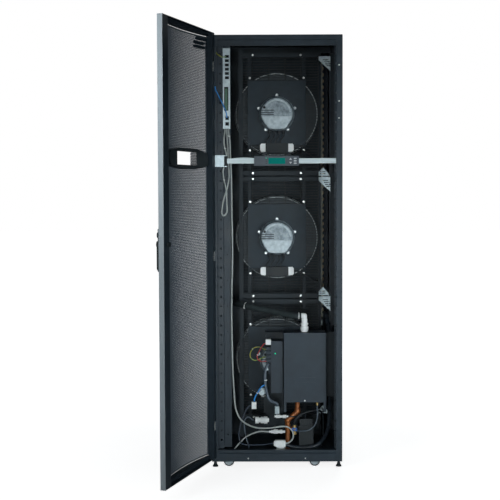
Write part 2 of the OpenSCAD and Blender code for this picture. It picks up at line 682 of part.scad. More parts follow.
// Return bends of the coil at its right end
module coil_tubes() {
    rows = floor((coil_h - 30) / bend_pitch);
    color("#a8835c") {
        for (k = [0 : rows - 1]) translate([coil_x, coil_y0 + coil_d / 2, coil_z0 + 30 + k * bend_pitch])
            rotate([90, 0, 0])
                rotate_extrude(angle = 180, start = -90) translate([bend_pitch / 4, 0]) circle(d = tube_d);
        // Supply and return headers behind the coil, up through the roof
        for (m = [0, 1]) mirror([m, 0, 0]) {
            translate([pipe_x, pipe_y, coil_z0 + 30]) cylinder(r = pipe_r, h = frame_h + 6 - stub_l - coil_z0 - 30);
            translate([pipe_x, pipe_y, frame_h - stub_l]) cylinder(r = stub_r, h = stub_l + 6);
            for (k = [0 : 5]) translate([pipe_x, coil_y0 + coil_d, coil_z0 + 60 + k * 7 * bend_pitch])
                rotate([-90, 0, 0]) cylinder(r = 8, h = 10 + pipe_r);
        }
    }
}
module coil_gussets() {
    x0 = 214;
    x1 = right_strip_x + 6;
    y = deck_y;
    color(silver) for (i = [0 : 3]) {
        z = seam_z(i);
        if (i > 0) facing_front(0, y, 0) linear_extrude(2) difference() {
            polygon([[x0, z - 3], [x1, z - 3], [x1, z - 76], [x0, z - 20]]);
            for (k = [0 : 3]) translate([x0 + 22 + 6 * k, z - 22 - 10 * k]) square([28, 4]);
        }
        if (i < 3) facing_front(0, y, 0) linear_extrude(2) difference() {
            polygon([[x0, z + 3], [x1 - 4, z + 3], [x1 - 12, z + 16], [x0 + 24, z + 44], [x0, z + 18]]);
            for (k = [0 : 1]) translate([x0 + 8, z + 11 + 10 * k]) square([28, 4]);
        }
    }
}
module drip_tray() {
    z = coil_z0 - 40;
    color("#b4b9bd") {
        difference() {
            box(-coil_x, coil_x, coil_y0 - 10, coil_y0 + coil_d + 50, z, z + 30);
            box(-coil_x + 2, coil_x - 2, coil_y0 - 8, coil_y0 + coil_d + 48, z + 2, z + 31);
            translate([0, coil_y0 + coil_d + 20, z - 1]) cylinder(r = 8, h = 5);
        }
        // Legs that carry the coil over the tray, and stands under it
        for (x = [-coil_x + 20, coil_x - 40], y = [coil_y0, coil_y0 + coil_d - 20]) {
            box(x, x + 20, y, y + 20, z + 2, coil_z0);
            box(x, x + 20, y, y + 20, sill_z + sheet_t, z);
        }
    }
}
module air_filters() {
    y0 = coil_y0 + coil_d + 60;
    h = (rail_z - coil_z0) / 2 - 10;
    for (i = [0, 1]) translate([0, y0, coil_z0 + i * (h + 4)]) {
        color("#4a4e52") difference() {
            box(-250, 250, 0, 46, 0, h);
            box(-235, 235, -1, 47, 15, h - 15);
        }
        color("#d7d9d6") translate([0, 0, 15]) linear_extrude(h - 30) polygon(concat(
            [for (k = [0 : 24]) [-235 + k * 470 / 24, k % 2 == 0 ? 6 : 37]],
            [for (k = [24 : -1 : 0]) [-235 + k * 470 / 24, k % 2 == 0 ? 9 : 40]]));
    }
    color("#4a4e52") for (m = [0, 1]) mirror([m, 0, 0])
        box(250, 256, y0 - 10, y0 + 56, sill_z + sheet_t, rail_z);
}

// ---- Controls in the upper front ----

module controller() {
    x0 = channel_x0 + 2;
    x1 = channel_x1 - 2;
    z0 = 1564;
    z1 = 1929;
    color("#aab0b3") difference() {
        box(x0, x1, channel_y - 25, channel_y, z0, z1);
        for (k = [0 : 5]) box(x1 - 23, x1 - 5, channel_y - 26, channel_y - 12, z1 - 30 - 19.3 * k - 13, z1 - 30 - 19.3 * k);
        for (k = [0 : 1]) box(x1 - 22, x1 - 6, channel_y - 26, channel_y - 12, z0 + 14 + 26 * k, z0 + 30 + 26 * k);
        box(x0 + 6, x1 - 8, channel_y - 26, channel_y - 22, z0 + 82, z0 + 190);
    }
    color("#3b5d46") for (k = [0 : 5]) box(x0 + 9, x1 - 12, channel_y - 23.5, channel_y - 22, z0 + 86 + 17 * k, z0 + 98 + 17 * k);
}

// ---- Humidifier and water parts in the lower front ----

module service_plate() {
    color("#2b2e31") {
        box(-50, half_w - steel_t - 12.5, service_y, service_y + service_t, humid_z0 + 8, humid_z1 - 10);
        box(half_w - steel_t - 14, half_w - steel_t - 0.5, service_y, service_y + service_t, humid_z0 + 8, humid_z0 + 260);
        box(-50, -50 + service_t, service_y + service_t, plate_y, humid_z1 - 42, humid_z1 - 12);
        box(-88, -50, service_y, service_y + service_t, 305, 347);
        // Tongue with the arms that hold the couplings
        box(-60, 40, service_y, service_y + service_t, 140, humid_z0 + 9);
        box(-56, -50, service_y - 77.7, service_y, 195, 215);
        box(0, 3, service_y - 86.7, service_y, 214, 262);
        box(-8, -5, service_y - 94.2, service_y, 144, 160);
    }
}
module humidifier() {
    x0 = humid_x;
    x1 = humid_x + humid_w;
    z = humid_z0;
    color("#3d4145") difference() {
        union() {
            box(x0, x1, humid_y, service_y, z, humid_z1);
            for (x = [x0, x1 - 12]) box(x, x + 12, humid_y, humid_y + 2, z - humid_leg, z);
            for (x = [x0, x1 - 2]) box(x, x + 2, humid_y, service_y, z - humid_leg, z);
        }
        // Seam of the front cover and the bare plate recess
        for (x = [x0 + 1, x1 - 2]) box(x, x + 1, humid_y - 1, humid_y + 1, z + 4, humid_z1 - 4);
        box(x0 + 48, x1 - 49, humid_y - 1, humid_y + 1, z + 94, z + 120);
        translate([nozzle_x, humid_y + 52, humid_z1 - 12]) cylinder(r = 14.3, h = 14);
    }
    color("#3d4145") difference() {
        box(x0 + 51, x1 - 52, humid_y - 0.2, humid_y + 1, z + 97, z + 117);
        box(x0 + 53, x1 - 54, humid_y - 1, humid_y + 0.3, z + 99, z + 115);
    }
}
module power_box() {
    x0 = power_x;
    x1 = humid_x - 5;
    z0 = 332;
    z1 = 576;
    color("#3a3e42") difference() {
        box(x0, x1, power_y, service_y, z0, z1);
        for (k = [0 : 2]) box(x0 + 12 + 11 * k, x0 + 15 + 11 * k, power_y - 1, power_y + 3, z1 - 80, z1 - 44);
    }
    color(white) box(x0 - 24, x0, power_y + 4, power_y + 40, z1 - 17, z1 + 7);
    color("#4e5256") for (k = [0 : 3])
        box(x0 - 22, x0, power_y + 8, power_y + 36, z1 - 102 + 19 * k, z1 - 102 + 16 + 19 * k);
    color(silver) difference() {
        box(x0 - 22, x0, power_y + 12, power_y + 16, z1 - 156, z1 - 106);
        translate([x0 - 23, power_y + 11, z1 - 157]) cube([12, 6, 18]);
    }
}
// Copper drain of the humidifier: down, aslant to the tee and down again, with a small brass valve beside it
module water_pipes() {
    r = 11;
    top = [98, service_y - 80, 242];
    tee = [52, service_y - 80, 200];
    drop = top - tee;
    color("#b0683c") {
        translate(top) cylinder(r = r, h = humid_z0 - top[2]);
        translate(top) cylinder(r = r + 2, h = 14);
        translate(top) sphere(r = r + 2);
        translate(tee) rotate([0, atan2(drop[0], drop[2]), 0]) cylinder(r = r + 1, h = norm(drop));
        translate(tee) sphere(r = r + 3);
        translate([tee[0], tee[1], sill_z + sheet_t]) cylinder(r = r, h = tee[2] - sill_z - sheet_t);
        translate([tee[0], tee[1], tee[2] - 34]) cylinder(r = r + 2, h = 16);
    }
    color("#b08d4a") {
        translate([valve_x, valve_y, valve_z - 22]) cylinder(r = 8, h = 40);
        translate([valve_x, valve_y, valve_z - 26]) cylinder(r = 10, h = 7, $fn = 6);
        facing_front(valve_x, valve_y, valve_z) cylinder(r = 4, h = 16);
        translate([valve_x, valve_y + 0.5, valve_z]) rotate([-90, 0, 0]) cylinder(r = 6, h = 20);
        translate([tee[0] + r - 2, valve_y + 20, valve_z]) rotate([0, 90, 0])
            cylinder(r = 6, h = valve_x - tee[0] - r + 2);
    }
    color("#b08d4a") translate([190, humid_y + 15, humid_z0 - 16]) cylinder(r = 5, h = 16);
}
valve_x = 83;
valve_y = humid_y + 2;
valve_z = 166;
module valve_handle() {
    color("#1f6fd0") facing_front(valve_x, valve_y - 8 - skin_gap, valve_z) difference() {
        union() {
            cylinder(r = 8, h = 6);
            translate([-11, -8, 0]) linear_extrude(6) square([22, 14]);
        }
        translate([0, 0, -1]) cylinder(r = 4 + run_gap, h = 8);
    }
}
// Lies along X: unions, a strainer and plugs in white or pale plastic, and the steam outlet
module fitting(x, y, z, steps) {
    translate([x, y, z]) rotate([90, 0, 90]) rotate_extrude() polygon(concat([[0, 0]], steps,
        [[0, steps[len(steps) - 1][1]]]));
}
module couplings() {
    color(white) {
        fitting(-106, service_y - 95, 205, [[12, 0], [12, 6], [16, 6], [16, 22], [11, 24], [11, 30], [15, 32],
            [15, 46], [17, 48], [17, 62], [9, 64], [9, 70]]);
        fitting(-10, service_y - 95, 222, [[5, 0], [5, 6], [8, 8], [8, 26], [6, 28], [6, 38], [8, 40], [8, 54],
            [4, 56], [4, 64]]);
        fitting(-36, service_y - 105, 152, [[5, 0], [5, 8], [8, 9], [8, 20], [10.5, 22], [10.5, 40], [8, 42],
            [8, 50], [10, 52], [10, 62], [6, 64], [6, 75]]);
        translate([nozzle_x, humid_y + 52, humid_z1 - 11.7]) rotate_extrude() polygon([[0, 0], [14, 0],
            [14, 14], [17, 14], [17, 20], [19, 22], [19, 34], [15, 38], [15, 44], [18, 46], [18, 52], [14, 54],
            [14, 72], [0, 72]]);
        translate([nozzle_x, humid_y + 52, steam_z]) sphere(r = 12.5);
        translate([nozzle_x, humid_y + 52, humid_z1 + 58]) cylinder(r = 12.5, h = steam_z - humid_z1 - 58);
        translate([nozzle_x, humid_y + 52, steam_z]) rotate([0, -90, 0]) cylinder(r = 12.5, h = 15);
        box(-8, 40, -456, -432, 91, 119);
        box(-14, -8, -452, -436, 95, 115);
        box(-2, 36, -424, -400, sill_z + sheet_t, 99);
        box(4, 30, -450, -434, sill_z + sheet_t, 91);
        difference() {
            box(-117, -95, -424, -404, 262, 294);
            box(-113, -99, -425, -420, 268, 288);
        }
    }
    color("#9aa0a3") {
        facing_front(-68, service_y, 326) cylinder(r = 17, h = 22);
        facing_front(-68, service_y, 326) cylinder(r = 9, h = 28);
        box(-8, 12, service_y - 105, service_y - 87, 236, 270);
    }
}
module condensate_pump() {
    x0 = 105;
    z1 = 207;
    y0 = service_y - 90;
    color("#33373b") difference() {
        union() {
            box(x0, x0 + 68, y0, y0 + 75, sill_z + sheet_t, z1 - 38);
            box(x0 - 3, x0 + 71, y0 - 3, y0 + 78, z1 - 38, z1 - 30);
            box(x0 + 4, x0 + 64, y0 + 4, y0 + 71, z1 - 30, z1);
        }
        for (k = [0 : 4]) box(x0 + 14 + 9 * k, x0 + 18 + 9 * k, y0 + 3, y0 + 6, z1 - 24, z1 - 6);
    }
}

// ---- Hoses, leads and cords ----

steam_z = 692;
steam_hose_route = [[116.7, -363, 692], [86, -363, 692], [41, -354, 700], [-29, -345, 715], [-95, -340, 727],
    [-138, -332, 736], [-168, -310, 741], [-190, -270, 742], [-205, -200, 742], [-212, -120, 742],
    [-214, -61, 742]];
loom_route = [[248, -30, 668], [250, -80, 664], [255, -128, 640], [259, -166, 596], [260, -185, 529],
    [260, -195, 388], [259, -215, 300], [256, -265, 215], [248, -312, 155], [230, -360, 120],
    [206, -396, 98], [180, -414, 86], [145, -419, 79], [105, -419, 78], [70, -416, 83], [50, -412, 89],
    [36.4, -412, 89]];
drain_hose_route = [[83, -413, 184.3], [83, -413.5, 196], [91, -415, 214], [111, -412, 232],
    [144, -405, 244], [180, -392, 248], [208, -370, 240], [220, -345, 218], [223, -330, 190],
    [223, -320, 150], [220, -315, 90], [220, -315, 64.8]];
capillary_route = [[190, -400, 274.7], [190, -402, 262], [190, -412, 222], [178, -422, 186],
    [152, -424, 163], [123, -420, 157], [101, -413, 156], [91.3, -413, 156]];
pump_lead_route = [[54.3, -400, 222], [62, -400, 222], [90, -403, 223], [112, -396, 228], [130, -380, 226],
    [136, -372, 218], [136, -372, 207.3]];
hose_routes = [[steam_hose_route, 30], [loom_route, 20], [drain_hose_route, 9], [capillary_route, 5],
    [pump_lead_route, 6]];
module hoses() {
    color("#2a2d30") for (h = hose_routes) cord(h[0], h[1], 10);
}
bundle_route = [[-38, -392, 470], [-50, -400, 452], [-54, -405, 420], [-53, -408, 377], [-45, -408, 330],
    [-33, -408, 302], [-14, -404, 290], [2, -401, 282], [2, -401, 270.4]];
red_route = [[-50.4, -380, 562], [-58, -380, 562], [-72, -390, 545], [-86, -396, 520], [-91, -397, 502],
    [-84, -396, 488], [-70, -390, 480], [-58, -384, 480], [-48.4, -384, 480]];
loop_route = [[-48.4, -375, 535], [-56, -375, 535], [-80, -387, 548], [-108, -394, 543], [-123, -396, 520],
    [-120, -396, 498], [-100, -392, 486], [-76, -382, 492], [-58, -372, 499], [-48.4, -372, 499]];
blue_short_route = [[-57, -412, 372], [-70, -416, 366], [-84, -416, 346], [-98, -415, 322],
    [-104, -414, 306], [-104, -414, 294.4]];
dark_blue_route = [[-118.2, -414, 272], [-125, -415, 276], [-138, -422, 266], [-151, -430, 240],
    [-167, -436, 200], [-177, -440, 150], [-172, -442, 114], [-155, -444, 100], [-111, -446, 98],
    [-60, -446, 99], [-26, -444, 103], [-14.4, -444, 103]];
sensor_route = [[-106.9, -400, 205], [-114, -401, 207], [-128, -403, 219], [-142, -405, 218],
    [-152, -407, 196], [-150, -409, 160], [-142, -412, 120], [-131, -415, 86], [-130, -415, 64.8]];
return_route = [[-36.4, -410, 152], [-46, -411, 152], [-75, -418, 155], [-106, -424, 149],
    [-147, -430, 130], [-178, -434, 100], [-196, -438, 78], [-198, -438, 64.8]];
blue_route = [[-277, -502.9, 1751.6], [-276, -502.9, 1738], [-269, -502.9, 1724], [-261, -497, 1708],
    [-252, -486, 1690], [-242, -476, 1670], [-232, -468, 1646], [-227, -463, 1626], [-226, -458.3, 1614]];
earth_route = [[-279, -462.9, 1937.6], [-278, -462.9, 1920], [-266, -463, 1900], [-250, -463.4, 1890],
    [-238, -460, 1889], [-229, -458.2, 1891]];
lead_routes = [[bundle_route, 14], [red_route, 5], [loop_route, 5], [blue_short_route, 7],
    [dark_blue_route, 6], [sensor_route, 6], [return_route, 7], [blue_route, 6], [earth_route, 5]];
// Leads of one motor, from its glands to the terminal block, and on to the right edge of the bulkhead
function motor_lead(i, x) = [for (p = [[x, -14, -94.8], [x, -15, -104], [x - 5, -18, -114], [x - 13, -18, -124],
    [x - 16, -18, -132], [x - 16, -18, -139.3]]) [fan_x + p[0], plate_y + p[1], fan_z(i) + p[2]]];
function exit_lead(i) = [for (p = [[80.6, -14, -162], [90, -14, -162], [112, -12, -168], [146, -8, -186], [176, 0, -206],
    [197, 20, -212], [199, 60, -214], [200, 148, -214]]) [fan_x + p[0], plate_y + p[1], fan_z(i) + p[2]]];
module leads() {
    color("#2a2d30") {
        for (l = lead_routes) cord(l[0], l[1], 8);
        for (i = [1 : 3]) {
            for (x = [-36, -14, 10, 32]) cord(motor_lead(i, x), 6, 6);
            cord(exit_lead(i), 5, 6);
        }
    }
}
module grey_cable() {
    color("#b9bdba") cord(grey_cable_route, grey_cable_d, 8);
}
module grey_hank() {
    color("#b9bdba") cord(grey_hank_route, grey_hank_d, 8);
}

// ---- Front door ----

module opened() {
    translate([hinge_x, hinge_y, 0]) rotate(-door_open) translate([-hinge_x, -hinge_y, 0]) children();
}
module bow(r) {
    translate([bow_x, bow_y]) circle(r = r, $fn = 720);
}
module door_outline() {
    intersection() {
        translate([door_x0, door_y - door_edge_t - door_bow - 1]) square([door_w - trim_t, door_edge_t + door_bow + 1]);
        bow(bow_r);
    }
}
door_side_z = door_z + door_cap_h;
door_side_h = door_z1 - door_z - 2 * door_cap_h;
module front_door() {
    color(black) opened() {
        // Bar with the hinges
        difference() {
            translate([0, 0, door_side_z]) linear_extrude(door_side_h) intersection() {
                door_outline();
                translate([door_x0, door_y - 80]) square([hinge_bar_w, 80]);
            }
            for (z = hinge_zs) {
                box(door_x0 - 1, hinge_x + 12, hinge_y - 10, door_y + 1, z - hinge_notch / 2, z + hinge_notch / 2);
                translate([hinge_x, hinge_y, z - hinge_notch]) cylinder(r = hinge_r + run_gap, h = 2 * hinge_notch);
            }
            for (k = [0 : 3]) {
                a = k == 0 ? door_side_z - 1 : hinge_zs[k - 1] + hinge_notch;
                b = k == 3 ? door_z1 - door_cap_h + 1 : hinge_zs[k] - hinge_notch;
                box(door_x0 + 2, door_x0 + hinge_bar_w - 2, door_y - door_edge_t + 2, door_y - 2, a, b);
            }
        }
        // Bar with the latch
        difference() {
            union() {
                translate([0, 0, door_side_z]) linear_extrude(door_side_h) intersection() {
                    door_outline();
                    translate([door_x1 - free_bar_w, door_y - 80]) square([free_bar_w, 80]);
                }
                box(latch_x - 18, latch_x + 18, handle_y, door_y - door_edge_t, latch_z - 112, latch_z + 64);
                facing_front(latch_x, handle_y, latch_z + 38) difference() {
                    cylinder(r = 13, h = 7);
                    translate([-1, -5, 5]) cube([2, 10, 3]);
                }
            }
            translate([0, 0, door_side_z - 1]) linear_extrude(door_side_h + 2)
                translate([door_x1 - free_bar_w + 2, door_y - door_edge_t + 2])
                square([free_bar_w - trim_t - 4, door_edge_t - 4]);
            facing_front(latch_x, door_y + 10, latch_z) cylinder(r = spindle_r + run_gap, h = 60);
            for (z = [[690, 780], [800, 906]])
                box(door_x1 - 14, door_x1 - 9, door_y - 3, door_y + 1, z[0], z[1]);
        }
        // Boss round the spindle inside the bar
        difference() {
            facing_front(latch_x, door_y - 2, latch_z) cylinder(r = 12, h = door_edge_t - 4);
            facing_front(latch_x, door_y + 10, latch_z) cylinder(r = spindle_r + run_gap, h = 60);
        }
        // End caps
        for (z = [door_z, door_z1 - door_cap_h]) difference() {
            translate([0, 0, z]) linear_extrude(door_cap_h) door_outline();
            box(door_x0 + hinge_bar_w, door_x1 - free_bar_w, door_y - door_edge_t + 2, door_y + 1,
                z == door_z ? z + 2 : z - 1, z == door_z ? z + door_cap_h + 1 : z + door_cap_h - 2);
        }
        // Temperature sensors on the sheet, under the top cap
        for (p = [[84, 19], [103, 36], [103, 55]]) intersection() {
            translate([0, 0, door_z1 - door_cap_h - p[1] - sensor_h]) linear_extrude(2 * sensor_h) difference() {
                bow(bow_r - mesh_t);
                bow(bow_r - mesh_t - sensor_t);
            }
            facing_front(door_x0 + p[0], 0, door_z1 - door_cap_h - p[1]) linear_extrude(-door_y + 80) {
                square([sensor_w - sensor_h, sensor_h], center = true);
                for (m = [0, 1]) mirror([m, 0]) translate([(sensor_w - sensor_h) / 2, 0]) circle(d = sensor_h);
            }
        }
    }
}
handle_y = door_y - 35.5;
spindle_r = 6;
module door_edge_trim() {
    color("#dfe2e4") opened() difference() {
        box(door_x1 - trim_t, door_x1, door_y - door_edge_t, door_y, door_z, door_z1);
        for (z = [door_z + 3, door_z1 - 3]) translate([door_x1 - 3, door_y - door_edge_t / 2, z])
            rotate([0, 90, 0]) cylinder(r = 1.5, h = 4);
    }
}
module door_mesh() {
    color("#3c4144") opened() difference() {
        translate([0, 0, door_side_z]) linear_extrude(door_side_h) intersection() {
            difference() {
                bow(bow_r);
                bow(bow_r - mesh_t);
            }
            translate([door_x0 + hinge_bar_w, door_y - 80]) square([door_w - hinge_bar_w - free_bar_w, 80]);
        }
        box(window_x - window_w / 2, window_x + window_w / 2, door_y - 80, door_y, window_z - window_h / 2,
            window_z + window_h / 2);
    }
}
window_z = display_z + 4;
module oval(w, h) {
    end_r = h * 0.42;
    side_r = h * 15;
    intersection() {
        translate([0, -side_r + h / 2]) circle(r = side_r, $fn = 720);
        translate([0, side_r - h / 2]) circle(r = side_r, $fn = 720);
        union() {
            square([w - 2 * end_r, h], center = true);
            for (m = [0, 1]) mirror([m, 0]) translate([w / 2 - end_r, 0]) circle(r = end_r);
        }
    }
}
module display_shroud() {
    face_y = door_y - 14;
    color(dark) opened() intersection() {
        difference() {
            facing_front(shroud_x, face_y, window_z) linear_extrude(60) oval(shroud_w, shroud_h);
            facing_front(shroud_x, face_y - 3, window_z) linear_extrude(60) oval(shroud_w - 10, shroud_h - 10);
        }
        linear_extrude(3000) bow(bow_r - mesh_t);
        union() {
            difference() {
                box(-half_w, half_w, -900, 0, 0, 3000);
                box(window_x - window_w / 2, window_x + window_w / 2, -900, 0, window_z - window_h / 2,
                    window_z + window_h / 2);
            }
        }
    }
}
// Lever outside, spindle through the bar and cam behind the post's face
module front_handle() {
    color("#3a3e41") opened() {
        facing_front(latch_x, handle_y - skin_gap, latch_z) {
            translate([-14, -94, 0]) cube([28, 94, 7]);
            translate([0, -94, 0]) cylinder(r = 14, h = 7);
            cylinder(r = 14, h = 9);
        }
        facing_front(latch_x, -half_d + steel_t + 3.5, latch_z)
            cylinder(r = spindle_r, h = -half_d + steel_t + 3.5 - handle_y + 2);
        facing_front(latch_x, -half_d + steel_t + 3.5, latch_z) linear_extrude(3) union() {
            circle(r = 10);
            translate([0, -8]) square([26, 16]);
        }
    }
}

// ---- Display ----

module arm_bracket() {
    z0 = display_z - 26;
    z1 = display_z + 26;
    color("#bfc4c6") {
        difference() {
            union() {
                box(-inner_x - 10, pivot_x - 7, -half_d - 4, -half_d, z0, z1);
                box(-inner_x, pivot_x - 7, -half_d, pivot_y + 16, z0, z1);
            }
            box(-inner_x + 2, pivot_x - 6, -half_d + 2, pivot_y + 17, z0 + 2, z1 - 2);
        }
        for (z = [z0, z1 - 3]) difference() {
            union() {
                translate([pivot_x, pivot_y, z]) cylinder(r = 9, h = 3);
                box(pivot_x - 8, pivot_x, pivot_y - 9, pivot_y + 9, z, z + 3);
            }
        }
        translate([pivot_x, pivot_y, z0]) cylinder(r = pivot_r, h = z1 - z0);
    }
}
module display_arm() {
    x0 = pivot_x + 6;
    x1 = inner_x - 0.6;
    z0 = display_z - arm_h / 2;
    cx = case_x - display_w / 2;
    dx = case_x + display_w / 2;
    color("#c4c9cb") difference() {
        union() {
            translate([pivot_x, pivot_y, display_z - 22.5]) cylinder(r = 8.5, h = 45);
            facing_front(0, arm_y + arm_t, 0) linear_extrude(arm_t) union() {
                translate([x0, z0]) square([cx - x0 - skin_gap, arm_h]);
                translate([dx + skin_gap, z0]) square([x1 - dx - skin_gap, arm_h]);
                intersection() {
                    translate([(x0 + cx) / 2 + 14, z0 + arm_h + 4 - 400]) circle(r = 400, $fn = 360);
                    translate([x0, z0]) square([cx - x0 - skin_gap, 60]);
                }
            }
            box(cx - 20, dx + 20, arm_y + arm_t - 3, arm_y + arm_t, z0 + 1, z0 + arm_h - 1);
        }
        translate([pivot_x, pivot_y, display_z - 30]) cylinder(r = pivot_r + run_gap, h = 60);
        for (x = [x1 - 70, x1 - 52, x1 - 20]) facing_front(x, arm_y + 1, display_z) cylinder(r = 2.2, h = 6);
    }
}
case_x = 0;
case_y1 = arm_y + arm_t - 3 - skin_gap;
key_travel = 1.2;
key_depth = 5.6;
arrow_x = 64;
oblong_x = 85;
module arrow(h) {
    polygon([[-h, -h * 0.7], [h, -h * 0.7], [0, h * 0.9]]);
}
module oblong(w, h) {
    square([w - h, h], center = true);
    for (m = [0, 1]) mirror([m, 0]) translate([(w - h) / 2, 0]) circle(d = h);
}
module display_case() {
    z0 = display_z - display_h / 2;
    color("#4b5157") difference() {
        union() {
            box(case_x - display_w / 2, case_x + display_w / 2, case_y + 1.5, case_y1, z0, z0 + display_h);
            box(case_x - display_w / 2 + 1.5, case_x + display_w / 2 - 1.5, case_y, case_y1, z0 + 1.5,
                z0 + display_h - 1.5);
        }
        box(case_x - 37, case_x + 40, case_y - 1, case_y + 1.2, display_z - 14, display_z + 14);
        facing_front(case_x + arrow_x, case_y + key_depth + 1.2, display_z + 9) linear_extrude(10) arrow(6.6);
        facing_front(case_x + arrow_x, case_y + key_depth + 1.2, display_z - 9) linear_extrude(10) rotate(180)
            arrow(6.6);
        for (k = [-1, 0, 1]) facing_front(case_x + oblong_x, case_y + key_depth + 1.2, display_z + 11 * k)
            linear_extrude(10) oblong(13.6, 6.6);
    }
}
module key_at(x, z) {
    color("#aeb4b8") facing_front(case_x + x, case_y + key_depth - key_travel, z) linear_extrude(key_depth)
        children();
}
module key_up() { key_at(arrow_x, display_z + 9) arrow(6); }
module key_down() { key_at(arrow_x, display_z - 9) rotate(180) arrow(6); }
module key_escape() { key_at(oblong_x, display_z + 11) oblong(13, 6); }
module key_help() { key_at(oblong_x, display_z) oblong(13, 6); }
module key_enter() { key_at(oblong_x, display_z - 11) oblong(13, 6); }

// ---- Rear door ----

rear_gap = 1.2;
rear_t = 10;
rear_y = half_d + rear_gap;
rear_pin_x = -half_w + 5;
rear_pin_y = rear_y + 5;
rear_pin_r = 2.5;
rear_bar = 45;
rear_notch = 30;
module rear_door() {
    z0 = door_z;
    z1 = frame_h;
    x1 = half_w - 3;
    color(black) difference() {
        union() {
            translate([rear_pin_x, rear_pin_y, z0]) cylinder(r = 5, h = z1 - z0);
            box(rear_pin_x, -half_w + rear_bar, rear_y, rear_y + rear_t, z0, z1);
            box(x1 - rear_bar, x1, rear_y, rear_y + rear_t, z0, z1);
            for (z = [z0, z1 - rear_bar, (z0 + z1) / 2 - rear_bar / 2])
                box(-half_w + rear_bar, x1 - rear_bar, rear_y, rear_y + rear_t, z, z + rear_bar);
            box(-half_w + rear_bar, x1 - rear_bar, rear_y + rear_t - 3, rear_y + rear_t - 1.4, z0 + 10, z1 - 10);
        }
        for (z = hinge_zs) {
            box(-half_w - 1, rear_pin_x + 9, rear_y - 1, rear_y + rear_t + 1, z - rear_notch / 2, z + rear_notch / 2);
            translate([rear_pin_x, rear_pin_y, z - rear_notch]) cylinder(r = rear_pin_r + run_gap, h = 2 * rear_notch);
        }
        translate([rear_latch_x, rear_y - 1, latch_z]) rotate([-90, 0, 0]) cylinder(r = 5 + run_gap, h = rear_t + 2);
    }
}
rear_latch_x = half_w - 38;
module rear_handle() {
    color("#3a3e41") {
        translate([rear_latch_x, rear_y + rear_t + skin_gap, latch_z]) rotate([-90, 0, 0]) linear_extrude(8) union() {
            circle(r = 12);
            translate([-9, 0]) square([18, 90]);
            translate([0, 90]) circle(r = 9);
        }
        translate([rear_latch_x, half_d - steel_t - 3.5, latch_z]) rotate([-90, 0, 0]) {
            cylinder(r = 5, h = steel_t + 3.5 + rear_gap + rear_t + skin_gap + 1);
            linear_extrude(3) union() {
                circle(r = 9);
                translate([0, -7]) square([24, 14]);
            }
        }
    }
}

// ---- Fasteners and hinge pins ----

module fasteners() {
    color(silver) {
        for (z = hinge_zs) {
            // Front hinge: leaf on the post, knuckle and pin
            box(hinge_x - 1.5, hinge_x + 1.5, hinge_y, -half_d, z - hinge_notch / 2 + 1, z + hinge_notch / 2 - 1);
            translate([hinge_x, hinge_y, z - hinge_notch / 2 + 1]) cylinder(r = 6.5, h = hinge_notch - 2);
            translate([hinge_x, hinge_y, z - hinge_notch + 4]) cylinder(r = hinge_r, h = 2 * hinge_notch - 8);
            // Rear hinge
            box(rear_pin_x - 1.5, rear_pin_x + 1.5, half_d, rear_pin_y, z - rear_notch / 2 + 1, z + rear_notch / 2 - 1);
            translate([rear_pin_x, rear_pin_y, z - rear_notch / 2 + 1]) cylinder(r = 4.5, h = rear_notch - 2);
            translate([rear_pin_x, rear_pin_y, z - rear_notch + 4]) cylinder(r = rear_pin_r, h = 2 * rear_notch - 8);
        }
        for (i = [1 : 3]) {
            for (a = [0 : 4]) facing_front(fan_x, plate_y - 6, fan_z(i)) rotate(90 + 72 * a)
                translate([motor_screw_r, 0, 0]) cylinder(r = 4, h = 4);
            for (sx = [-1, 1], sz = [-1, 1]) facing_front(fan_x + sx * plate_screw_x, fan_rail_y, fan_z(i) + sz * plate_screw_z)
                cylinder(r = 5, h = 5);
        }
        for (i = [0 : 3], s = [-1, 1], d = [-1, 1]) if ((i > 0 || d > 0) && (i < 3 || d < 0))
            facing_front(fan_x + s * 115, bar_y, seam_z(i) + d * (3 + bar_h / 2)) cylinder(r = 5, h = 4);
        for (x = [-133, 130]) facing_front(x, -half_d, skirt_z + skirt_h / 2) cylinder(r = 3, h = 1.5);
        for (z = [frame_h - 136, frame_h - 298, frame_h - 375]) facing_front(half_w - 16, -half_d, z) cylinder(r = 3, h = 1.5);
        facing_front(nozzle_x, humid_y, humid_z0 + 8) cylinder(r = 3.5, h = 2.5);
        box(-inner_x - 9, -inner_x - 1, -half_d - 5, -half_d, frame_h - 231, frame_h - 223);
        facing_front(-inner_x - 7, -post_y, frame_h - 40) cylinder(r = 5, h = 6);
    }
}

frame();
mounting_rails();
side_panel_left();
side_panel_right();
roof_panel();
base_tray();
castor_mounts();
swivel_front_left();
swivel_front_right();
wheel_front_left();
wheel_front_right();
wheel_rear_left();
wheel_rear_right();
levelling_feet();
fan_deck();
fan_rails();
fan_guard_1();
fan_guard_2();
fan_guard_3();
motor_plates();
fan_motor_1();
fan_motor_2();
fan_motor_3();
impeller_1();
impeller_2();
impeller_3();
fan_connectors();
coil_fins();
coil_tubes();
coil_gussets();
drip_tray();
air_filters();
controller();
service_plate();
humidifier();
power_box();
water_pipes();
couplings();
condensate_pump();
valve_handle();
hoses();
leads();
grey_cable();
grey_hank();
front_door();
door_edge_trim();
door_mesh();
display_shroud();
front_handle();
arm_bracket();
display_arm();
display_case();
key_up();
key_down();
key_escape();
key_help();
key_enter();
rear_door();
rear_handle();
fasteners();
